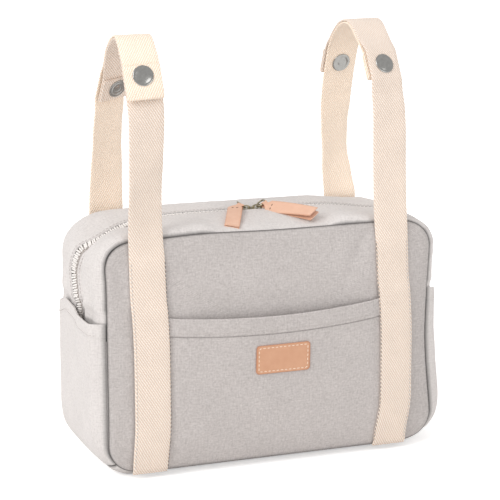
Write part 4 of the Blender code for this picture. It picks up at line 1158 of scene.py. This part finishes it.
snap = {
    "cap": 8.5 * mm, "edge": 0.9 * mm, "dome": 0.9 * mm, "post": 1.6 * mm, "socket": 6.2 * mm,
    "plate": 0.6 * mm, "socketDepth": 1.1 * mm, "base": 0.5 * mm, "neck": 3 * mm,
    "play": 0.05 * mm,
}
studGap = 3 * bag["gap"] + snap["base"] + snap["plate"] + snap["socketDepth"]


def sewnStations(side, facing):
    # The strap's line where it is sewn to the panel, from its foot up
    stations = []
    heights = [height * mm for height in (-0.9, 0.6, 2, 7, 12, 17)]
    for height in heights + spread(22 * mm, 120 * mm, 8) + spread(128 * mm, strap["sewnTop"], 6):
        z = seamBottom + max(0.0, height)
        depth = panelDepth(strap["x"], z) + bag["gap"] + strap["thickness"] / 2
        if facing < 0:
            depth += (bag["cloth"] + bag["gap"]) * smooth((148 * mm - height) / (14 * mm))
        depth -= 1.6 * mm * smooth((2 * mm - height) / (3 * mm))
        sway = 0.0
        if facing < 0:
            sway = strap["footSway"][side] * smooth((42 * mm - height) / (34 * mm))
            sway += strap["topSway"][side] * smooth((height - 96 * mm) / (70 * mm))
        stations.append((Vector((side * strap["x"] + sway, facing * depth, seamBottom + height)), 0.0, 1.0))
    return stations


def curvedThrough(stations, step):
    # Evenly spaced points on a smooth line through all the stations
    points = []
    for i in range(len(stations) - 1):
        before, start = stations[max(0, i - 1)], stations[i]
        end, after = stations[i + 1], stations[min(len(stations) - 1, i + 2)]
        length = (end[0] - start[0]).length
        first = (end[0] - before[0]) * (length / max(1e-9, (end[0] - before[0]).length))
        last = (after[0] - start[0]) * (length / max(1e-9, (after[0] - start[0]).length))
        count = max(1, round(length / step))
        for k in range(count):
            t = k / count
            a, b, c, d = 2 * t**3 - 3 * t**2 + 1, t**3 - 2 * t**2 + t, -2 * t**3 + 3 * t**2, t**3 - t**2
            centre = start[0] * a + first * b + end[0] * c + last * d
            share = smooth(t)
            turn, hug = (start[n] + (end[n] - start[n]) * share for n in (1, 2))
            points.append((centre, turn, hug))
    return points + [stations[-1]]


class WebbingLoop:
    # The line that both straps of a loop follow

    def __init__(self, name, side):
        free = [(Vector((x * mm, y * mm, seamTop + rise * mm)), math.radians(turn), 0.0)
                for x, y, rise, turn in loopPaths[name]]
        stations = sewnStations(side, -1) + free + sewnStations(side, 1)[::-1]
        self.line = curvedThrough(stations, strap["step"])
        self.runs = travelled([station[0] for station in self.line])
        self.studs = []
        for rise, onFront in zip(loopStuds[name], (True, False)):
            run = self.runAt(seamTop + rise, onFront)
            self.studs.append((run,) + self.locate(run)[:4])

    def runAt(self, height, onFront):
        order = range(1, len(self.runs))
        for i in order if onFront else reversed(order):
            low, high = self.line[i - 1][0].z, self.line[i][0].z
            if min(low, high) <= height <= max(low, high):
                return self.runs[i - 1] + (self.runs[i] - self.runs[i - 1]) * (height - low) / (high - low)

    def locate(self, run):
        run = min(max(run, 0.0), self.runs[-1])
        low, high = 0, len(self.runs) - 1
        while high - low > 1:
            middle = (low + high) // 2
            low, high = (middle, high) if self.runs[middle] <= run else (low, middle)
        share = (run - self.runs[low]) / max(1e-9, self.runs[high] - self.runs[low])
        a, b = self.line[low], self.line[high]
        before = self.line[max(0, low - 2)][0]
        after = self.line[min(len(self.line) - 1, high + 2)][0]
        along = (after - before).normalized()
        turn = a[1] + (b[1] - a[1]) * share
        width = Vector((math.cos(turn), math.sin(turn), 0))
        width = (width - along * width.dot(along)).normalized()
        return a[0].lerp(b[0], share), along, width, width.cross(along), a[2] + (b[2] - a[2]) * share

    def point(self, run, offset, across):
        # offset outwards from the middle of the inner strap
        centre, _, width, normal, hug = self.locate(run)
        for studRun, studCentre, studAlong, studWidth, studNormal in self.studs:
            free = smooth((abs(run - studRun) - 9 * mm) / (7 * mm))
            if free < 1:
                flat = studCentre + studAlong * (run - studRun)
                centre = flat.lerp(centre, free)
                width = studWidth.lerp(width, free).normalized()
                normal = studNormal.lerp(normal, free).normalized()
        spot = centre + width * across
        follow = (panelDepth(spot.x, centre.z) - panelDepth(centre.x, centre.z)) * hug if hug > 0 else 0.0
        return spot + normal * (offset + follow)

    def layerGap(self, run):
        nearest = min(abs(run - stud[0]) for stud in self.studs)
        return bag["gap"] + (studGap - bag["gap"]) * smooth((strap["studFlat"] + 16 * mm - nearest) / (16 * mm))


def webbingSection():
    # Edge-on outline of the webbing: half width across and height, round at its woven edges
    half, thick, edge = strap["width"] / 2, strap["thickness"] / 2, strap["edgeRound"]
    face = [(a, thick) for a in spread(-half + edge, half - edge, 8)]
    rim = [(half - 0.35 * edge, 0.72 * thick), (half, 0.0), (half - 0.35 * edge, -0.72 * thick)]
    return face + rim + [(-a, -h) for a, h in face] + [(-a, -h) for a, h in rim]


def makeStrap(name, node, loop, start, end, offsetAt, travel, fold, hem):
    # Webbing from start to its folded hem at end, as one closed skin
    turnRadius = (strap["thickness"] + bag["gap"]) / 2
    count = round(abs(end - start) / strap["step"])
    profile = [(run, offsetAt(run), 0.0, 1.0) for run in spread(start, end, count)]
    for k in range(1, 9):
        angle = math.pi * k / 8
        profile.append((end + travel * turnRadius * math.sin(angle),
                        offsetAt(end) + fold * turnRadius * (1 - math.cos(angle)),
                        -travel * fold * math.sin(angle), math.cos(angle)))
    for back in spread(1 * mm, hem[1], 14):
        run = end - travel * back
        profile.append((run, offsetAt(run) + fold * 2 * turnRadius, 0.0, -1.0))
    section = webbingSection()
    ring = len(section)
    piece, cells = gridPiece(name, len(profile) - 1, ring)
    along = travelled([loop.point(stop[0], stop[1], 0) for stop in profile])
    around = travelled([Vector(section[k % ring]) for k in range(ring + 1)])
    for vertex, (i, j) in zip(piece.data.vertices, cells):
        run, offset, leanAlong, leanOut = profile[i]
        across, height = section[j % ring]
        if abs(across) > strap["width"] / 2 - strap["edgeRound"] * 0.5:
            scallop = strap["scallop"] * math.sin(2 * math.pi * along[i] / strap["scallopPitch"])
            across += math.copysign(scallop, across)
        vertex.co = loop.point(run + height * leanAlong, offset + height * leanOut, across)
    unwrap(piece.data, cells, along, around)
    useOnly(piece)
    editWhole((bpy.ops.mesh.remove_doubles, {"threshold": 1e-6}), (bpy.ops.mesh.fill_holes, {"sides": 0}), outwards)
    bpy.ops.object.shade_smooth_by_angle(angle=math.radians(55))
    # back straps take the lighter webbing copy, which is painted light
    return finishPiece(piece, litBackWebbing if "back" in node else webbing, node)


def turnedDisc(name, steps, place, node):
    # Round piece from rings of radius and height, by extruding and scaling a disc's face
    deselectAll()
    bpy.ops.mesh.primitive_circle_add(vertices=40, radius=steps[0][0], fill_type="NGON",
                                      location=(0, 0, steps[0][1]))
    piece = named(name)
    bpy.ops.object.transform_apply(location=True, rotation=False, scale=False)
    bpy.ops.object.mode_set(mode="EDIT")
    bpy.ops.mesh.select_all(action="SELECT")
    for (r1, z1), (r2, z2) in zip(steps, steps[1:]):
        bpy.ops.mesh.extrude_region_move(TRANSFORM_OT_translate={"value": (0, 0, z2 - z1)})
        bpy.ops.transform.resize(value=(r2 / r1, r2 / r1, 1), center_override=(0, 0, 0))
    bpy.ops.mesh.select_all(action="SELECT")
    bpy.ops.mesh.normals_make_consistent(inside=False)
    bpy.ops.object.mode_set(mode="OBJECT")
    piece.matrix_world = place
    bpy.ops.object.transform_apply(location=True, rotation=True, scale=True)
    bpy.ops.object.shade_smooth_by_angle(angle=math.radians(40))
    return finishPiece(piece, steel, node)


# snap profiles as shares of the cap's radius and of its edge or dome
capRim = [(0.93, 0), (0.985, 0.15), (1, 0.42), (0.985, 0.7), (0.95, 0.92), (0.89, 1), (0.83, 0.93), (0.79, 0.98)]
capDome = [(0.7, 0.28), (0.55, 0.6), (0.38, 0.83), (0.2, 0.96), (0.05, 1)]
postHead = [(0.93, 0), (0.99, 0.3), (0.97, 0.75), (0.9, 1), (0.8, 1.02), (0.7, 0.8), (0.62, 0.45), (0.4, 0.4),
            (0.3, 0.75), (0.18, 0.85), (0.04, 0.86)]


def makeSnap(side, where, stud, foldedOuter):
    # Cap, socket, stud and post of one press stud, stacked out from the inner strap's middle
    centre, along, width, normal = stud[1:]
    place = axesAt(width, along, normal, centre)
    gap = bag["gap"]
    layer = strap["thickness"] + gap
    face = strap["thickness"] / 2
    baseLow = face + gap
    baseTop = baseLow + snap["base"]
    socketLow = baseTop + gap
    ceiling = socketLow + snap["socketDepth"]
    socketTop = ceiling + snap["plate"]
    capLow = face + studGap + strap["thickness"] + (layer if foldedOuter else 0.0) + snap["play"]
    backFace = -face - (0.0 if foldedOuter else layer) - snap["play"]
    cap, edge, dome, post, socket, neck = (snap[key] for key in ("cap", "edge", "dome", "post", "socket", "neck"))
    profiles = {
        "cap": [(post, ceiling), (post, capLow)] + [(cap * r, capLow + edge * h) for r, h in capRim]
        + [(cap * r, capLow + edge + dome * h) for r, h in capDome],
        "socket": [(neck + gap, ceiling), (neck + gap, socketLow), (socket * 0.96, socketLow),
                   (socket, socketLow + 0.3 * mm), (socket, socketTop - 0.3 * mm), (socket * 0.95, socketTop),
                   (post + gap, socketTop)],
        "stud": [(post + gap, baseLow), (socket * 0.95, baseLow), (socket, baseLow + 0.2 * mm),
                 (socket * 0.95, baseTop), (neck * 1.1, baseTop), (neck, baseTop + 0.3 * mm),
                 (neck, ceiling - gap - 0.3 * mm), (neck * 0.85, ceiling - gap), (0.3 * mm, ceiling - gap)],
        "post": [(post, baseLow), (post, backFace)] + [(cap * r, backFace - edge * h) for r, h in postHead],
    }
    for part, profile in profiles.items():
        turnedDisc(f"snap{side.title()}{where.title()}{part.title()}", profile, place, f"snap_{side}_{where}_{part}")


for side, sign, outer in (("left", -1, "back"), ("right", 1, "front")):
    loop = WebbingLoop(side, sign)
    hems = loopHems[side]
    frontStud, backStud = (stud[0] for stud in loop.studs)
    frontEnd, backEnd = backStud + hems[1][0], frontStud - hems[0][0]

    def outerOffset(run, loop=loop, outer=outer, frontEnd=frontEnd, backEnd=backEnd):
        beyond = backEnd - run if outer == "front" else run - frontEnd
        return (strap["thickness"] + loop.layerGap(run)) * (1 - smooth((beyond - 4 * mm) / (70 * mm)))

    for end, start, stop, travel, hem in (("front", 0.0, frontEnd, 1, hems[1]),
                                          ("back", loop.runs[-1], backEnd, -1, hems[0])):
        outside = end == outer
        makeStrap(f"strap{side.title()}{end.title()}", f"strap_{side}_{end}", loop, start, stop,
                  outerOffset if outside else (lambda run: 0.0), travel, 1 if outside else -1, hem)
    for where, stud in zip(("front", "back"), loop.studs):
        makeSnap(side, where, stud, (where == "front") == (outer == "back"))
    # edge seams that hold the straps to the panels
    for facing, end in ((-1, "Front"), (1, "Back")):
        # the inner rows are real stitches in a dark thread that also paints their shadow along the strap edge
        for place, inwards, seamIn, thread in (("Inner", -1, 0.1 * mm, darkThreadWithShadow),
                                               ("Outer", 1, 1.6 * mm, greyThread)):
            across = sign * inwards * (strap["width"] / 2 - seamIn)
            spots = [loop.point(loop.runAt(seamBottom + height, facing < 0), strap["thickness"] / 2, across)
                     for height in spread(4 * mm, strap["sewnTop"] - 2 * mm, 70)]
            stitchRow(f"strapSeam{side.title()}{end}{place}", spots, [Vector((0, facing, 0))] * len(spots), thread)
print("webbing loops made")
